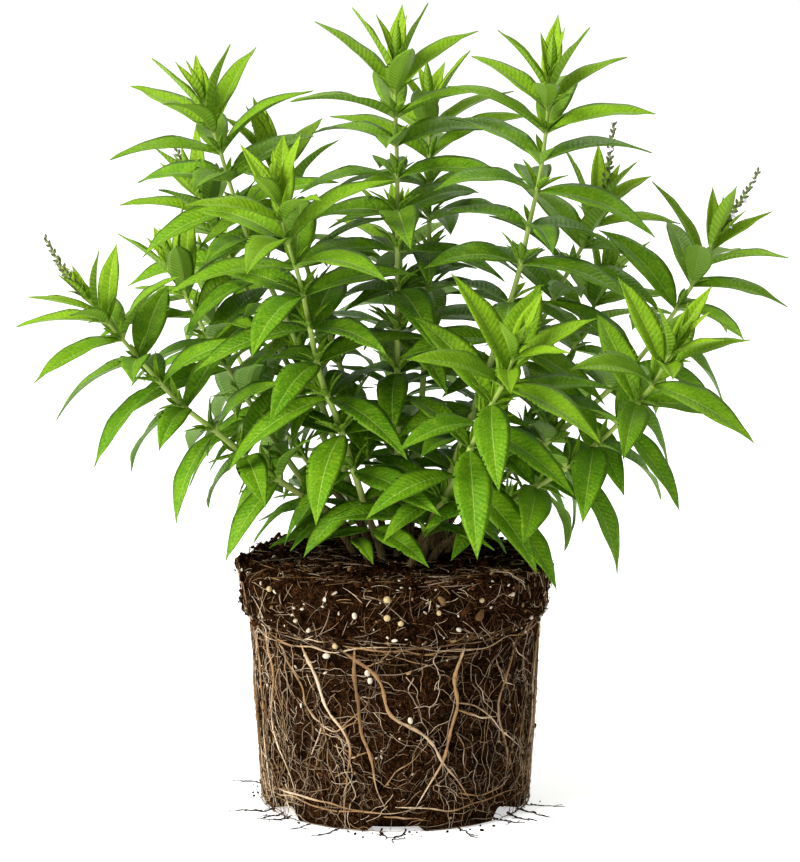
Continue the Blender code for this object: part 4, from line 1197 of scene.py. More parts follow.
    def small_leaves(self, shoot: Shoot, rng: np.random.Generator) -> list[Leaf]:
        """The bud at the stem's tip and the pairs of small leaves in the axils of the leaves below."""
        line, total = self.plan.stem_line(shoot)
        made = []
        for k in range(4):
            point, stem = self.plan.frame_at(line, (1 - 1.2 / total) * (len(line) - 1))
            made.append(self.small_leaf(point, stem, 40 + 95 * k, 8 + 3.0 * k, rng.uniform(9, 13), 0.7, 0))
        for leaf in self.leaves[shoot.name]:
            if leaf.whorl < 2 or rng.uniform() < 0.2:
                continue
            back = sum(WHORL_GAPS[: leaf.whorl + 1]) - 1.6
            point, stem = self.plan.frame_at(line, (1 - back / total) * (len(line) - 1))
            out = leaf.ahead - stem * leaf.ahead.dot(stem)
            side = (RIGHT - stem * RIGHT.dot(stem)).normalized()
            azimuth = math.degrees(math.atan2(out.dot(stem.cross(side)), out.dot(side)))
            for turn in (-38, 40):
                length = rng.uniform(8, 15) * (1 + 0.05 * leaf.whorl)
                made.append(self.small_leaf(point, stem, azimuth + turn, rng.uniform(28, 46), length, 1.3, 2))
        return made

    def small_leaf(self, point: Vector, stem: Vector, azimuth: float, angle: float, length: float, off: float,
                   whorl: int) -> Leaf:
        """A young leaf at a point of the stem, turned about it and away from it by degrees."""
        side = (RIGHT - stem * RIGHT.dot(stem)).normalized()
        outward = self.plan.turned(side, stem, math.radians(azimuth))
        lean = math.radians(angle)
        ahead = (stem * math.cos(lean) + outward * math.sin(lean)).normalized()
        face = (stem * math.sin(lean) - outward * math.cos(lean)).normalized()
        return Leaf(point + outward * off * 0.6, ahead, face, length, math.radians(24), math.radians(28), 0.02, False,
                    whorl)

    def spike(self, surface: Surface, bark: Surface, shoot: Shoot, rng: np.random.Generator) -> None:
        """Adds the flower spike: a thin stalk, buds in a golden spiral, and a few open white flowers.

        Args:
            surface: Where the buds and petals go.
            bark: Where the stalk goes.
            shoot: The stem that carries the spike.
            rng: The stem's random numbers.
        """
        tip = self.plan.stem_rows(shoot)[-1]
        curve, total = self.plan.spline([tip, *shoot.spike], 24)
        path = np.array([tuple(p) for p in curve])
        radii = np.linspace(*SPIKE.stalk_radii, len(path))
        rings = sweep_tubes(path[None], radii[None], np.array(RIGHT), 6)
        bark.add(rings, path[:1], path[-1:], tone=toned(0.25, 0.5))
        count = int(total / SPIKE.bud_gap)
        share = (np.arange(count) + 1.5) / (count + 0.5)
        at = share * (len(path) - 1)
        base = np.stack([np.interp(at, np.arange(len(path)), path[:, k]) for k in range(3)], axis=1)
        stalk = unit(path[-1] - path[0])
        side = unit(np.cross(stalk, np.array([0.0, 0.0, 1.0])))
        other = np.cross(stalk, side)
        spin = np.arange(count) * SPIKE.bud_turn
        out = np.cos(spin)[:, None] * side + np.sin(spin)[:, None] * other
        lean = np.radians(SPIKE.lean - SPIKE.less_lean * share)[:, None]
        ahead = np.cos(lean) * stalk + np.sin(lean) * out
        length = (SPIKE.bud_length - SPIKE.less_length * share) * rng.uniform(*SPIKE.length_draw, count)
        paths, rings = self.spindles(base, ahead, length, SPIKE.bud_radius - SPIKE.less_radius * share)
        along = np.linspace(0, 1, rings.shape[1])[None, :, None]
        tone = toned(along)
        surface.add(rings, paths[:, 0], paths[:, -1], tone=tone)
        opened = np.flatnonzero(rng.uniform(size=count) * (0.4 + share) < SPIKE.open_share)
        self.flowers(surface, (base + ahead * length[:, None] * 0.95)[opened], ahead[opened], rng)

    def spindles(self, base: Array, ahead: Array, length: Array, radius: Array) -> tuple[Array, Array]:
        """Paths and rings of buds: radius times sin(pi t)^0.7, with the widest part below the middle."""
        t = np.linspace(0.02, 0.98, 7)
        paths = base[:, None] + ahead[:, None] * (length[:, None] * t)[..., None]
        swell = np.sin(np.pi * t**0.85) ** 0.7
        return paths, sweep_tubes(paths, radius[:, None] * swell, np.array([0.3, 0.2, 1.0]), 6)

    def flowers(self, surface: Surface, centre: Array, ahead: Array, rng: np.random.Generator) -> None:
        """Adds small white flowers of four lobes: a shallow cup whose radius goes as 1 + 0.38 cos 4a."""
        if not len(centre):
            return
        sides = 16
        t = np.array([0.0, 0.5, 1.0, 1.02, 0.5, 0.05])
        lift = np.array([0.0, 0.5, 0.7, 0.6, 0.35, -0.1])
        paths = centre[:, None] + ahead[:, None] * (lift * rng.uniform(0.8, 1.2))[None, :, None]
        side = unit(np.cross(ahead, np.array([0.2, 0.9, 0.4])))
        other = np.cross(ahead, side)
        angle = 2 * np.pi * np.arange(sides) / sides
        reach = SPIKE.petal_reach * t[:, None] * (1 + SPIKE.lobe * t[:, None] * np.cos(4 * angle)) + 0.12
        around = np.cos(angle)[:, None] * side[:, None] + np.sin(angle)[:, None] * other[:, None]
        rings = paths[:, :, None] + reach[None, ..., None] * around[:, None]
        surface.add(rings[:, ::-1], paths[:, -1], paths[:, 0], tone=toned(0.3, 1.0))


def join_surfaces(name: str, surfaces: list[Surface], finishes: list, slot: Slot) -> bpy.types.Object:
    """Makes one object of several surfaces, each with its own finish.

    Args:
        name: The object's name.
        surfaces: The surfaces, in the order of their finishes.
        finishes: The materials.
        slot: Not used; it is passed on to to_object, which does not read it.

    Returns:
        The new object.
    """
    whole = Surface()
    quads, tris = [], []
    for number, part in enumerate(surfaces):
        whole.points += part.points
        whole.uv += part.uv
        whole.tone += part.tone
        shift = whole.count
        part_quads, part_tris = np.concatenate(part.quads) + shift, np.concatenate(part.tris) + shift
        whole.quads.append(part_quads)
        whole.tris.append(part_tris)
        quads.append(np.full(len(part_quads), number))
        tris.append(np.full(len(part_tris), number))
        whole.count += part.count
    made = whole.to_object(name, finishes[: len(surfaces)], slot)
    made.data.polygons.foreach_set("material_index", np.concatenate(quads + tris).astype(np.int32))
    return made


class RootBall:
    """The moulded peat with its crumbs, perlite, beads and fibres, and the roots that hold it together."""

    AROUND = 400

    def __init__(self) -> None:
        """Makes the noise and the finishes."""
        self.lattice = LatticeNoise(11)
        self.peat = PeatFinish().make()
        self.root = RootFinish().make()
        self.grain = GrainFinish().make()

    def radius(self, z: Array) -> Array:
        """The pot's inner radius at a height: a tapered body and the wider band under the rim."""
        z = np.asarray(z, dtype=float)
        b = BALL
        rim = b.rim_foot_radius + (b.rim_radius - b.rim_foot_radius) * np.clip(
            (z - b.step_top) / (b.top - b.step_top), 0, 1
        )
        step = b.body_top_radius + (b.rim_foot_radius - b.body_top_radius) * (z - b.step_foot) / (
            b.step_top - b.step_foot
        )
        share = np.clip((z - b.chamfer) / (b.step_foot - b.chamfer), 0, None)
        body = b.body_base_radius + (b.body_top_radius - b.body_base_radius) * share
        return np.where(z >= b.step_top, rim, np.where(z >= b.step_foot, step, body))

    def notch(self, angle: Array) -> Array:
        """0 to 1: how deep the drain notch is at an angle round the base. One notch faces the front."""
        pitch = 2 * np.pi / BALL.notch_count
        off = (angle + np.pi / 2 + pitch / 2) % pitch - pitch / 2
        inside = np.abs(off) < BALL.notch_half_angle
        return np.where(inside, np.cos(off / BALL.notch_half_angle * np.pi / 2), 0.0)

    def on_side(self, degrees: Array, z: Array, lift: Array) -> Array:
        """Points on the ball's side: degrees round it, where 0 is the front, a height, and a lift off it."""
        angle = np.radians(degrees) - np.pi / 2
        out = self.radius(z) + lift
        return np.stack([out * np.cos(angle), out * np.sin(angle), np.broadcast_to(z, out.shape)], axis=-1)

    def build(self) -> None:
        """Makes the soil, what is mixed into it, and the roots."""
        self.soil()
        self.crumbs()
        self.fibres()
        self.grains()
        self.main_roots()
        self.fine_roots()
        self.stray_roots()

    def outline(self) -> tuple[Array, Array, Array]:
        """The soil's outline from the top's middle to the base's middle: radii, heights and their normals."""
        b = BALL
        keys = [(0, b.top), (b.rim_radius - 2.5, b.top), (b.rim_radius - 0.4, b.top - 1.2), (b.rim_radius, b.top - 4),
                (b.rim_foot_radius, b.step_top), (b.body_top_radius + 0.4, b.step_foot),
                (b.body_top_radius - 0.4, b.step_foot - 3), (b.body_base_radius, b.chamfer),
                (b.body_base_radius - 1.5, 0.6), (b.body_base_radius - 2.5, 0.0), (b.flat_radius, 0.0), (0.6, 0.0)]
        spacing = (1.6, 1.0, 1.0, 1.5, 1.2, 1.2, 1.55, 1.2, 0.8, 3.0, 14.0)
        found = []
        for (r0, z0), (r1, z1), gap in zip(keys, keys[1:], spacing):
            steps = max(1, round(math.hypot(r1 - r0, z1 - z0) / gap))
            t = np.arange(steps)[:, None] / steps
            found.append(np.array([[r0, z0]]) * (1 - t) + np.array([[r1, z1]]) * t)
        line = np.concatenate([*found, [keys[-1]]])
        line[0, 0] = 0.7
        along = unit(np.gradient(line, axis=0))
        return line[:, 0], line[:, 1], np.stack([-along[:, 1], along[:, 0]], axis=1)

    # Noise that moves the peat: its spacing, and its reach where the soil is loose and where the pot held it
    SOIL_WAVES = ((17.0, 3.4, 0.5), (8.0, 2.4, 0.45), (4.0, 1.3, 0.45), (2.2, 0.9, 0.4))

    def soil(self) -> None:
        """Makes the peat: the outline turned round +Z, moved along its normal by noise of four sizes."""
        r, z, normal = self.outline()
        angle = np.linspace(0, 2 * np.pi, self.AROUND, endpoint=False)
        ca, sa = np.cos(angle)[None], np.sin(angle)[None]
        shape = (len(z), self.AROUND)
        points = np.stack([r[:, None] * ca, r[:, None] * sa, np.broadcast_to(z[:, None], shape)], -1)
        out = np.stack([-normal[:, :1] * ca, -normal[:, :1] * sa, np.broadcast_to(-normal[:, 1:], shape)], -1)
        out = self.facing_out(out, points)
        height = points[..., 2]
        waves = [self.lattice.at(points, spacing) for spacing, _, _ in self.SOIL_WAVES]
        loose = sum(reach * wave for wave, (_, reach, _) in zip(waves, self.SOIL_WAVES))
        held = sum((reach * wave for wave, (_, _, reach) in zip(waves, self.SOIL_WAVES)), start=-0.5)
        top = np.clip((height - (BALL.step_top - 2)) / 6, 0, 1)
        rim = np.clip((height - BALL.top + 6) / 5, 0, 1)
        base = np.clip(height / 4, 0, 1)
        loose = loose * (0.55 + 0.45 * rim) - (1 - rim) * 0.7
        moved = points + out * ((top * loose + (1 - top) * np.minimum(held, 0.25)) * base)[..., None]
        moved[..., 2] += 1.5 * (1 - (r / BALL.rim_radius) ** 2)[:, None] * rim
        deep = self.notch(angle)[None] * np.clip((9 - height) / 6, 0, 1) * (r > BALL.flat_radius + 1)[:, None]
        moved[..., 2] += BALL.notch_height * deep * np.clip(1.2 - height / 9, 0, 1)
        moved[..., :2] *= (1 - BALL.notch_depth * deep / np.maximum(r, 1)[:, None])[..., None]
        moved[..., 2] = np.maximum(moved[..., 2], 0.0)
        tone = toned(np.clip((108 - height) / 8, 0, 1))
        surface = Surface()
        start, end = np.array([[0.0, 0.0, moved[0, :, 2].mean()]]), np.zeros((1, 3))
        surface.add(moved[None, :, ::-1], start, end, tone=tone[None, :, ::-1])
        made = surface.to_object("peat_ball", [self.peat], Slot.SOIL)
        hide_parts("soil_ball")
        self.surface_points, self.surface_out = moved, out

    def facing_out(self, out: Array, points: Array) -> Array:
        """The normals, turned where needed to point away from the ball's middle."""
        middle = np.array([0.0, 0.0, BALL.top / 2])
        sign = np.sign((out * (points - middle)).sum(-1, keepdims=True))
        return out * np.where(sign == 0, 1, sign)

    def scatter(self, rng: np.random.Generator, kind: Litter) -> tuple[Array, Array]:
        """Random places on the peat, and the directions out of it there.

        Args:
            rng: Random numbers.
            kind: What is scattered.

        Returns:
            Points and unit directions, each (count, 3).
        """
        z = self.surface_points[..., 2]
        r = np.hypot(self.surface_points[..., 0], self.surface_points[..., 1])
        top, rim, body = kind.weights
        rows = np.where(r[:, :1] < BALL.rim_radius - 4, top * r[:, :1] / 40, 1.0) * np.ones_like(z)
        band = np.where(z > BALL.step_foot, rim, body)
        share = np.where(r < BALL.rim_radius - 5, np.where(z > 120, rows, band), band) * (z > kind.low)
        share = share.ravel() / share.sum()
        picked = rng.choice(share.size, kind.count, p=share)
        points = self.surface_points.reshape(-1, 3)[picked] + rng.normal(0, 0.5, (kind.count, 3))
        return points, unit(self.surface_out.reshape(-1, 3)[picked])

    def lumps(self, rng: np.random.Generator, points: Array, out: Array, size: Array, flat: Array, rings: int,
              sides: int, rough: float) -> tuple[Array, Array, Array]:
        """Rings and poles of rough pebbles: balls of radius size, squeezed along a random axis, with noise.

        Args:
            rng: Random numbers.
            points: Their middles.
            out: A direction for each.
            size: Their radii.
            flat: How long each is along its axis against its radius.
            rings: Rings in a pebble.
            sides: Corners in a ring.
            rough: How far a corner strays, against the radius.

        Returns:
            Rings (N, rings, sides, 3) and both poles (N, 3).
        """
        axis = unit(np.cross(out, rng.normal(size=out.shape)) + 0.25 * rng.normal(size=out.shape))
        t = (np.arange(rings) + 1) / (rings + 1) * np.pi
        along = -np.cos(t)[None, :] * (size * flat)[:, None]
        paths = points[:, None] + axis[:, None] * along[..., None]
        radii = np.sin(t)[None] * size[:, None]
        shape = 1 + rough * rng.uniform(-1, 1, (len(points), rings, sides))
        made = sweep_tubes(paths, radii, out[:, None], sides, shape)
        ends = points - axis * (size * flat)[:, None], points + axis * (size * flat)[:, None]
        return made, *ends

    def crumbs(self) -> None:
        """Makes loose crumbs of peat and bark on the soil."""
        rng = np.random.default_rng(21)
        surface = Surface()
        points, out = self.scatter(rng, CRUMBS)
        size = 0.45 + 2.1 * rng.beta(1.0, 4.8, len(points))
        size = np.where(points[:, 2] < BALL.step_foot, np.minimum(size, 0.9), size)
        rings, start, end = self.lumps(rng, points + out * (size * 0.15)[:, None], out, size,
                                       rng.uniform(0.6, 2.3, len(points)), 3, 5, 0.45)
        second_tone = rng.beta(0.8, 2.2, len(points))
        tone = toned(0.0, second_tone[:, None, None])
        surface.add(rings, start, end, tone=tone)
        surface.to_object("peat_crumbs", [self.peat], Slot.SOIL)

    def fibres(self) -> None:
        """Makes the brown peat fibres and dead rootlets that lie across the top and the rim."""
        rng = np.random.default_rng(22)
        points, out = self.scatter(rng, FIBRES)
        count, steps = len(points), 7
        length = rng.uniform(4, 17, count)
        heading = unit(np.cross(out, rng.normal(size=out.shape)))
        t = np.linspace(-0.5, 0.5, steps)
        bow = rng.uniform(-0.45, 0.45, count)[:, None] * (0.25 - t**2)
        across = np.cross(out, heading)
        lift = 0.5 + 1.2 * rng.uniform(0, 1, count)[:, None] * (1 - 3.2 * t**2)
        paths = (
            points[:, None]
            + heading[:, None] * (length[:, None] * t)[..., None]
            + across[:, None] * (length[:, None] * bow)[..., None]
            + out[:, None] * lift[..., None]
        )
        paths = self.keep_near(paths, 1.6)
        radii = (0.1 + 0.22 * rng.beta(1, 3, count))[:, None] * (1 - 1.2 * t**2)
        rings = sweep_tubes(paths, radii, out[:, None], 3)
        age = rng.uniform(0.45, 1.0, count)
        age = np.where(rng.uniform(size=count) < 0.34, 0.15, age)
        dirt = rng.uniform(0.0, 0.7, count)
        tone = toned(age[:, None, None], dirt[:, None, None])
        surface = Surface()
        surface.add(rings, paths[:, 0], paths[:, -1], tone=tone)
        surface.to_object("peat_fibres", [self.root], Slot.SOIL)

    def keep_near(self, paths: Array, reach: float) -> Array:
        """Pulls points in that stand more than a reach off the pot's wall, by scaling their x and y."""
        r = np.hypot(paths[..., 0], paths[..., 1])
        most = self.radius(np.clip(paths[..., 2], 0, 200)) + reach
        return np.concatenate([paths[..., :2] * np.minimum(1, most / np.maximum(r, 1e-6))[..., None],
                               np.maximum(paths[..., 2:], 0.4)], axis=-1)

    def grains(self) -> None:
        """Makes the perlite grains and the feed beads, the largest of them where the picture shows them."""
        rng = np.random.default_rng(23)
        points, out = self.scatter(rng, GRAINS)
        size = 0.35 + 0.6 * rng.beta(1.5, 2.8, len(points))
        rings, start, end = self.lumps(rng, points + out * (size * 0.3)[:, None], out, size,
                                       rng.uniform(1.1, 2.4, len(points)), 4, 7, 0.12)
        stain = rng.uniform(0, 1, len(points))
        tone = toned(0.0, stain[:, None, None])
        surface = Surface()
        surface.add(rings, start, end, tone=tone)
        # Degrees round the ball, height, radius and whether a bead, as seen on the front of the ball
        seen = np.array([(-3, 128, 2.1, 1), (-3, 118, 1.9, 1), (2, 115, 1.6, 1), (-26, 126, 1.7, 0), (-53, 126, 1.6, 1),
                         (-15, 118.5, 1.5, 0), (33, 124.5, 1.5, 1), (16, 120, 1.4, 1), (-28, 94.5, 1.7, 0),
                         (-24, 100.5, 1.8, 1), (-10, 83, 1.5, 0), (-11, 87, 1.7, 0), (6, 61.5, 1.5, 0),
                         (48, 124.5, 1.3, 0), (-40, 112, 1.2, 0), (-34, 108, 1.3, 0), (24, 110, 1.3, 0),
                         (62, 108, 1.3, 0), (150, 119, 1.9, 1), (-140, 124, 1.8, 1), (110, 127, 1.7, 1),
                         (-100, 116, 1.6, 1), (175, 96, 1.6, 0), (-165, 90, 1.5, 0), (95, 84, 1.5, 0)])
        middle = self.on_side(seen[:, 0], seen[:, 1], -0.5 + 0.5 * seen[:, 2])
        outward = unit(middle * np.array([1, 1, 0]))
        rings, start, end = self.lumps(rng, middle, outward, 0.9 * seen[:, 2], 1.35 - 0.3 * seen[:, 3], 7, 12, 0.05)
        tone = toned(seen[:, 3, None, None], 0.4)
        surface.add(rings, start, end, tone=tone)
        surface.to_object("perlite_and_beads", [self.grain], Slot.SOIL)

    # Main roots on the viewer's side: radius, then degrees round the ball and height, from top to bottom
    FRONT_ROOTS = (
        (1.5, [(-16, 99), (-16, 84), (-15, 66), (-11, 44), (-8, 26), (-4, 13)]),
        (1.2, [(-40, 99), (-34, 84), (-30, 70), (-22, 55), (-19, 40), (-22, 13)]),
        (1.4, [(-22, 99), (-8, 86), (-2, 66), (12, 52), (20, 38), (28, 24), (34, 13)]),
        (1.4, [(28, 99), (24, 82), (25, 66), (22, 48), (16, 30), (8, 13)]),
        (0.9, [(56, 99), (50, 78), (46, 58), (54, 36), (50, 13)]),
        (0.9, [(-64, 99), (-58, 76), (-62, 50), (-52, 30), (-46, 13)]),
        (0.9, [(25, 66), (36, 60), (46, 58)]),
        (0.8, [(-22, 55), (-15, 62)]),
        (0.8, [(-19, 40), (-11, 44)]),
    )
    # Thinner roots that the picture shows between them
    SIDE_ROOTS = (
        (0.75, [(-53, 97), (-47, 86), (-41, 76), (-39, 67), (-34, 60), (-31, 56), (-36, 43), (-39, 29), (-41, 19)]),
        (0.5, [(-31, 56), (-29, 46), (-28, 34), (-25, 23)]),
        (0.6, [(-31, 56), (-25, 54), (-18, 61), (-11, 70)]),
        (0.8, [(-44, 101), (-37, 102), (-28, 102), (-24, 104)]),
        (0.7, [(-21, 101), (-13, 100), (-5, 99), (7, 100), (19, 101), (31, 101), (45, 101)]),
        (0.6, [(24, 70), (34, 66), (44, 56), (55, 44), (66, 35)]),
        (0.5, [(-5, 25), (1, 34), (7, 39), (11, 47)]),
        (0.8, [(-59, 15), (-42, 15), (-29, 14), (-17, 12), (-5, 11)]),
        (0.7, [(-5, 9), (7, 8), (15, 6)]),
        (0.35, [(-26, 46), (-19, 43), (-14, 36)]),
        (0.35, [(-18, 33), (-26, 30)]),
        (0.5, [(25, 54), (29, 44), (30, 34), (33, 29)]),
        (0.5, [(-13, 90), (-4, 94)]),
        (0.45, [(-6, 99), (2, 95), (11, 92), (17, 88)]),
        (0.5, [(45, 85), (50, 76), (57, 72)]),
        (0.4, [(52, 99), (60, 88), (69, 81)]),
        (0.9, [(-75, 97), (-71, 78), (-71, 48), (-69, 20), (-64, 6)]),
        (0.6, [(-56, 16), (-51, 7), (-46, 3)]),
        (0.6, [(27, 20), (37, 17), (48, 18), (57, 23)]),
        (0.7, [(80, 96), (76, 74), (78, 50), (72, 26), (70, 8)]),
    )

    def laid(self, turns: list, lift: float, gap: float = 1.6) -> Array:
        """A root's path: a smooth curve through (degrees, height) pairs with small bends, laid on the side."""
        flat = [Vector((d, z, 0)) for d, z in turns]
        reach = sum((b - a).length for a, b in zip(flat, flat[1:]))
        curve, _ = Plan().spline(flat, max(6, round(reach / gap)))
        d, z = np.array([(p.x, p.y) for p in curve]).T
        bend = np.sin(np.linspace(0, 2.3 * np.pi * max(1, reach / 40), len(d)) + turns[0][0])
        ease = np.sin(np.linspace(0, np.pi, len(d)))
        return self.on_side(d + 0.7 * bend * ease, z + 0.35 * np.cos(2.1 * bend) * ease, lift)

    def main_roots(self) -> None:
        """Makes the thick roots: knobbly tapered tubes on the ball's side, in place of the solid net."""
        rng = np.random.default_rng(31)
        surface = Surface()
        roots = [(0.76 * radius, turns, 0.1) for radius, turns in self.FRONT_ROOTS]
        roots += [(0.75 * radius, turns, 0.1) for radius, turns in self.SIDE_ROOTS]
        back = random.Random(77)
        for k in range(7):
            start = 90 + 180 * k / 6
            turns = [(start, 99.0)] + [(start + back.uniform(-11, 11), z) for z in (76, 52, 30)]
            turns.append((start + back.uniform(-8, 8), 13.0))
            roots.append((back.uniform(0.85, 1.3), turns, 0.25))
        for height in (99.0, 13.0):
            for first in range(0, 360, 60):
                turns = [(first + 12 * k, height + back.uniform(-2.6, 2.6)) for k in range(7)]
                roots.append((0.45, turns, 0.1))
        for radius, turns, lift in roots:
            path = self.laid(turns, radius * 0.35 + lift)
            t = np.linspace(0, 1, len(path))
            swell = np.sin(2 * np.pi * (t * len(path) / 7 + rng.uniform()))
            knots = 1 + 0.16 * swell + 0.1 * rng.normal(size=len(path))
            taper = np.minimum(1, 0.35 + 6 * t) * np.minimum(1, 0.25 + 2.4 * (1 - t)) * (1.0 - 0.45 * t)
            sides = 8 if radius > 0.7 else 6
            shape = 1 + 0.07 * rng.normal(size=(1, len(path), sides))
            rings = sweep_tubes(path[None], (radius * knots * taper)[None], self.out_of(path)[None], sides, shape)
            age = np.clip(0.4 + 0.15 * rng.normal() + 0.22 * np.sin(5 * t + rng.uniform(0, 6)), 0.08, 0.8)
            tone = toned(age[None, :, None], 0.05)
            surface.add(rings, path[:1], path[-1:], tone=tone)
        made = surface.to_object("main_roots", [self.root], Slot.ROOT)
        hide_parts("root_net")

    def out_of(self, path: Array) -> Array:
        """Directions level and away from the ball's axis."""
        return unit(path * np.array([1, 1, 0]))

    def wander(self, rng: np.random.Generator, start: Array, z0: Array, heading: Array, length: Array, steps: int,
               curl: float) -> tuple[Array, Array]:
        """Paths that wander over the ball's side: a heading that sways, summed up step by step.

        Args:
            rng: Random numbers.
            start: Degrees round the ball where each starts.
            z0: Its height there.
            heading: Its first heading in radians: 0 is down, and pi/2 is round the ball.
            length: Its length in millimetres.
            steps: Points in a path.
            curl: How far the heading sways, in radians.

        Returns:
            Degrees and heights, each (N, steps).
        """
        t = np.linspace(0, 1, steps)[None]
        waves = 0.0
        for k, weight in ((1.3, 1.0), (2.9, 0.7), (6.1, 0.5)):
            waves = waves + weight * np.sin(2 * np.pi * k * t + rng.uniform(0, 2 * np.pi, (len(start), 1)))
        turn = heading[:, None] + curl * waves
        stride = length[:, None] / (steps - 1)
        z = z0[:, None] - np.cumsum(np.cos(turn) * stride, axis=1)
        degrees = start[:, None] + np.degrees(np.cumsum(np.sin(turn) * stride, axis=1) / 74.0)
        return degrees, np.clip(z, 1.2, 122.0)

    def strands(self, surface: Surface, rng: np.random.Generator, kind: Strand, start: Array, z0: Array,
                heading: Array) -> Array:
        """Adds fine roots that wander from their starts.

        Args:
            surface: Where they go.
            rng: Random numbers.
            kind: Their kind.
            start: Degrees round the ball where each starts.
            z0: Its height there.
            heading: Its first heading in radians: 0 is down, and pi/2 is round the ball.

        Returns:
            Their paths' degrees and heights, as (N, steps, 2).
        """
        count = len(start)
        length, radius = rng.uniform(*kind.length, count), rng.uniform(*kind.radius, count)
        age = rng.beta(*kind.age, count)
        degrees, z = self.wander(rng, start, z0, heading, length, kind.steps, kind.curl)
        t = np.linspace(0, 1, kind.steps)
        rise = rng.uniform(-0.1, 0.7, (count, 1))
        rise = rise + 0.3 * np.sin(2 * np.pi * (t * 2 + rng.uniform(size=(count, 1))))
        path = self.on_side(degrees, z, rise)
        rings = sweep_tubes(path, radius[:, None] * (1.0 - 0.55 * t), self.out_of(path), 3)
        # Clinging peat drawn at random, and darker still towards the front right
        dirt = 0.8 * rng.beta(0.5, 0.7, count) + 0.25 * np.exp(-(((degrees[:, 0] - 45) / 30) ** 2))
        tone = toned(age[:, None, None], dirt[:, None, None])
        surface.add(rings, path[:, 0], path[:, -1], tone=tone)
        return np.stack([degrees, z], axis=-1)

    def fine_roots(self) -> None:
        """Makes the mat of fine roots: long strands down the sides, circling ones, side roots and root hairs."""
        rng = np.random.default_rng(41)
        mat, twigs = Surface(), Surface()
        start = rng.uniform(-180, 180, LONG_STRANDS.count)
        bare = 0.7 * np.exp(-((start / 30) ** 2)) + 0.5 * np.exp(-(((start - 52) / 26) ** 2))
        start = start[rng.uniform(size=len(start)) > bare]
        count = len(start)
        paths = self.strands(mat, rng, LONG_STRANDS, start, rng.uniform(42, 112, count), rng.normal(0, 0.3, count))
        count = RING_STRANDS.count
        self.strands(
            mat, rng, RING_STRANDS, rng.uniform(-180, 180, count),
            np.where(rng.uniform(size=count) < 0.5, rng.uniform(92, 106, count), rng.uniform(3, 22, count)),
            np.where(rng.uniform(size=count) < 0.5, -1, 1) * rng.normal(1.57, 0.1, count),
        )
        count = BRANCHES.count
        picked = paths[rng.integers(0, len(paths), count), rng.integers(2, 26, count)]
        heading = rng.normal(0, 0.25, count) + rng.choice([-1, 1], count) * rng.uniform(0.6, 1.3, count)
        self.strands(twigs, rng, BRANCHES, picked[:, 0], picked[:, 1], heading)
        for kind, width, low, high in ((FRONT_HAIRS, 70, 8, 104), (ROOT_HAIRS, 180, 4, 120)):
            count = kind.count
            self.strands(twigs, rng, kind, rng.uniform(-width, width, count), rng.uniform(low, high, count),
                         rng.uniform(-np.pi, np.pi, count))
        self.loose_hairs(twigs, rng)
        mat.to_object("root_mat", [self.root], Slot.ROOT)
        twigs.to_object("side_roots", [self.root], Slot.ROOT)

    def loose_hairs(self, surface: Surface, rng: np.random.Generator) -> None:
        """Adds short dark hairs that stand off the ball's side."""
        count, steps = 260, 6
        degrees, z = rng.uniform(-180, 180, count), rng.uniform(10, 124, count)
        t = np.linspace(0, 1, steps)[None]
        lift = rng.uniform(1.5, 5.5, (count, 1)) * t * (1.6 - 0.6 * t)
        swing = rng.normal(0, 4.5, (count, 1)) * t * t
        path = self.on_side(degrees[:, None] + swing, z[:, None] + rng.normal(-1, 3, (count, 1)) * t, lift)
        radii = np.broadcast_to(0.12 * (1.1 - 0.6 * t), (count, steps))
        surface.add(sweep_tubes(path, radii, np.array([0.0, 0.0, 1.0]), 3), path[:, 0], path[:, -1],
                    tone=toned(0.8, 0.45))

    # Degrees round the ball where a root lies out on the floor
    STRAYS = (-66, -58, -52, -38, -22, -6, 4, 26, 47, 58, 66, 74, 118, 160, 205, 250)
    STRAY_START = 68.5

    def stray_roots(self) -> None:
        """Makes the thin dark roots that lie on the floor round the base, each with two short forks."""
        rng = np.random.default_rng(51)
        around = np.radians(np.array(self.STRAYS) - 90)
        count, steps = len(around), 22
        length = rng.uniform(13, 27, count)
        t = np.linspace(0, 1, steps)[None]
        sway = 0.4 * np.sin(2 * np.pi * (1.2 * t + rng.uniform(size=(count, 1))))
        sway += 0.35 * np.sin(2 * np.pi * (3.4 * t + rng.uniform(size=(count, 1))))
        turn = around[:, None] + rng.uniform(-0.5, 0.5, (count, 1)) + sway
        stride = length[:, None] / (steps - 1)
        x = self.STRAY_START * np.cos(around)[:, None] + np.cumsum(np.cos(turn) * stride, axis=1)
        y = self.STRAY_START * np.sin(around)[:, None] + np.cumsum(np.sin(turn) * stride, axis=1)
        radii = rng.uniform(0.35, 0.62, (count, 1)) * (1 - 0.6 * t) * (1 + 0.25 * rng.normal(size=(count, steps)))
        radii = np.clip(radii, 0.12, 0.7)
        z = radii + 0.15 + 1.2 * np.maximum(0, 1 - 5 * t)
        path = np.stack([x, y, z], axis=-1)
        surface = Surface()
        tone, up = toned(1.0, 0.85), np.array(UP)
        surface.add(sweep_tubes(path, radii, up, 5), path[:, 0], path[:, -1], tone=tone)
        forks, points = 2 * count, 8
        twig = path[np.repeat(np.arange(count), 2), rng.integers(6, 17, forks)]
        bearing = rng.uniform(-np.pi, np.pi, forks)[:, None] + 0.8 * np.sin(3 * np.linspace(0, 1, points))[None]
        reach = rng.uniform(2, 7, forks)[:, None] / (points - 1)
        fork = np.stack([twig[:, :1] + np.cumsum(np.cos(bearing) * reach, 1),
                         twig[:, 1:2] + np.cumsum(np.sin(bearing) * reach, 1), np.full((forks, points), 0.35)], -1)
        surface.add(sweep_tubes(fork, np.full(fork.shape[:2], 0.2), up, 4), fork[:, 0], fork[:, -1], tone=tone)
        surface.to_object("stray_roots", [self.root], Slot.ROOT)
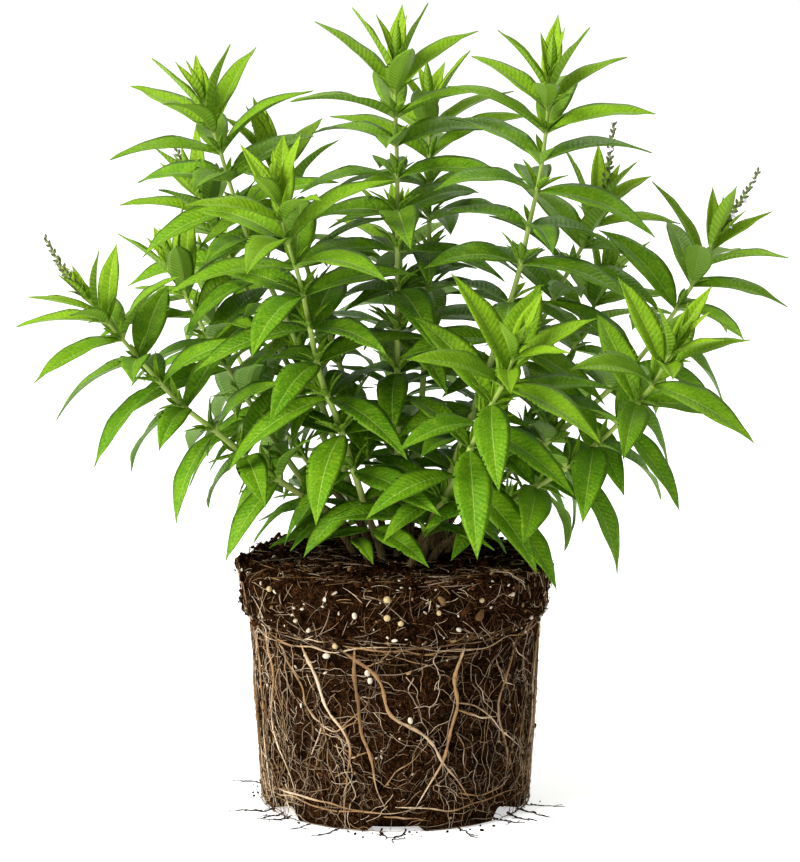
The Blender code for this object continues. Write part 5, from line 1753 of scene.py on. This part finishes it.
        self.specks(rng, 90)

    def specks(self, rng: np.random.Generator, count: int) -> None:
        """Makes the specks of peat that lie on the floor round the base."""
        where = np.radians(rng.uniform(-180, 180, count))
        off = 70 + 16 * rng.beta(1, 2.5, count)
        size = rng.uniform(0.3, 0.9, count)
        middle = np.stack([off * np.cos(where), off * np.sin(where), size * 0.8], axis=-1)
        out = np.broadcast_to(np.array(UP), middle.shape)
        rings, start, end = self.lumps(rng, middle, out, size, rng.uniform(0.8, 1.6, count), 3, 5, 0.25)
        for part in (rings, start, end):
            part[..., 2] = np.maximum(part[..., 2], 0.05)
        surface = Surface()
        surface.add(rings, start, end, tone=toned(0.0))
        surface.to_object("peat_specks", [self.peat], Slot.SOIL)


@dataclass(frozen=True)
class Studio:
    """A pale floor, soft light from above the viewer, and the camera at the picture's angle."""

    floor_half: float = 12.0
    floor_colour: str = "#F4F4F2"
    floor_glow: float = 0.52
    room_light: float = 0.54
    aim: tuple = (0, 0, 0.22)
    sensor: float = 36.0
    lens: float = 36.0 * 5611 / 862
    spot: tuple = (0.0024, -2.9, 0.79)
    tilt: float = math.radians(78.5)

    # Each light's name, its place and side in metres, and its power in watts
    LIGHTS = (
        ("key", (-1.6, -1.25, 1.9), 1.1, 84.0),
        ("low", (-1.8, -1.5, 0.45), 1.2, 25.0),
        ("back", (0.4, 1.4, 1.8), 1.2, 14.0),
    )

    def build(self) -> None:
        """Makes the floor, the lights and the camera."""
        self.floor()
        bpy.context.scene.view_settings.view_transform = "Standard"
        for name, spot, size, power in self.LIGHTS:
            self.light(name, spot, size, power)
        world = bpy.data.worlds.new("white_room")
        bpy.context.scene.world = world
        world.use_nodes = True
        world.node_tree.nodes["Background"].inputs[0].default_value = (1, 1, 1, 1)
        world.node_tree.nodes["Background"].inputs[1].default_value = self.room_light
        lens = bpy.data.cameras.new("camera")
        camera = bpy.data.objects.new("camera", lens)
        bpy.context.scene.collection.objects.link(camera)
        lens.sensor_width = self.sensor
        lens.lens = self.lens
        camera.location = self.spot
        camera.rotation_euler = (self.tilt, 0, 0)
        bpy.context.scene.camera = camera

    def floor(self) -> None:
        """A wide flat sheet just under the base."""
        h = self.floor_half
        mesh = bpy.data.meshes.new("floor")
        mesh.from_pydata([(-h, -h, 0), (h, -h, 0), (h, h, 0), (-h, h, 0)], [], [(0, 1, 2, 3)])
        made = bpy.data.objects.new("floor", mesh)
        bpy.context.scene.collection.objects.link(made)
        finish = Finish("pale_floor")
        finish.shader.inputs["Emission Color"].default_value = (1, 1, 1, 1)
        finish.shader.inputs["Emission Strength"].default_value = self.floor_glow
        mesh.materials.append(finish.wear(self.floor_colour, 0.9))

    def light(self, name: str, spot: tuple, size: float, power: float) -> None:
        """A square soft light that faces the plant."""
        lamp = bpy.data.lights.new(name, "AREA")
        lamp.size = size
        lamp.energy = power
        made = bpy.data.objects.new(name, lamp)
        made.location = spot
        made.rotation_euler = (Vector(self.aim) - Vector(spot)).to_track_quat("-Z", "Y").to_euler()
        bpy.context.scene.collection.objects.link(made)


def main() -> None:
    """Builds the plant, the root ball and the studio."""
    logging.basicConfig(level=logging.INFO, format="%(message)s")
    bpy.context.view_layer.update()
    Foliage().build()
    RootBall().build()
    Studio().build()


if __name__ == "__main__":
    main()
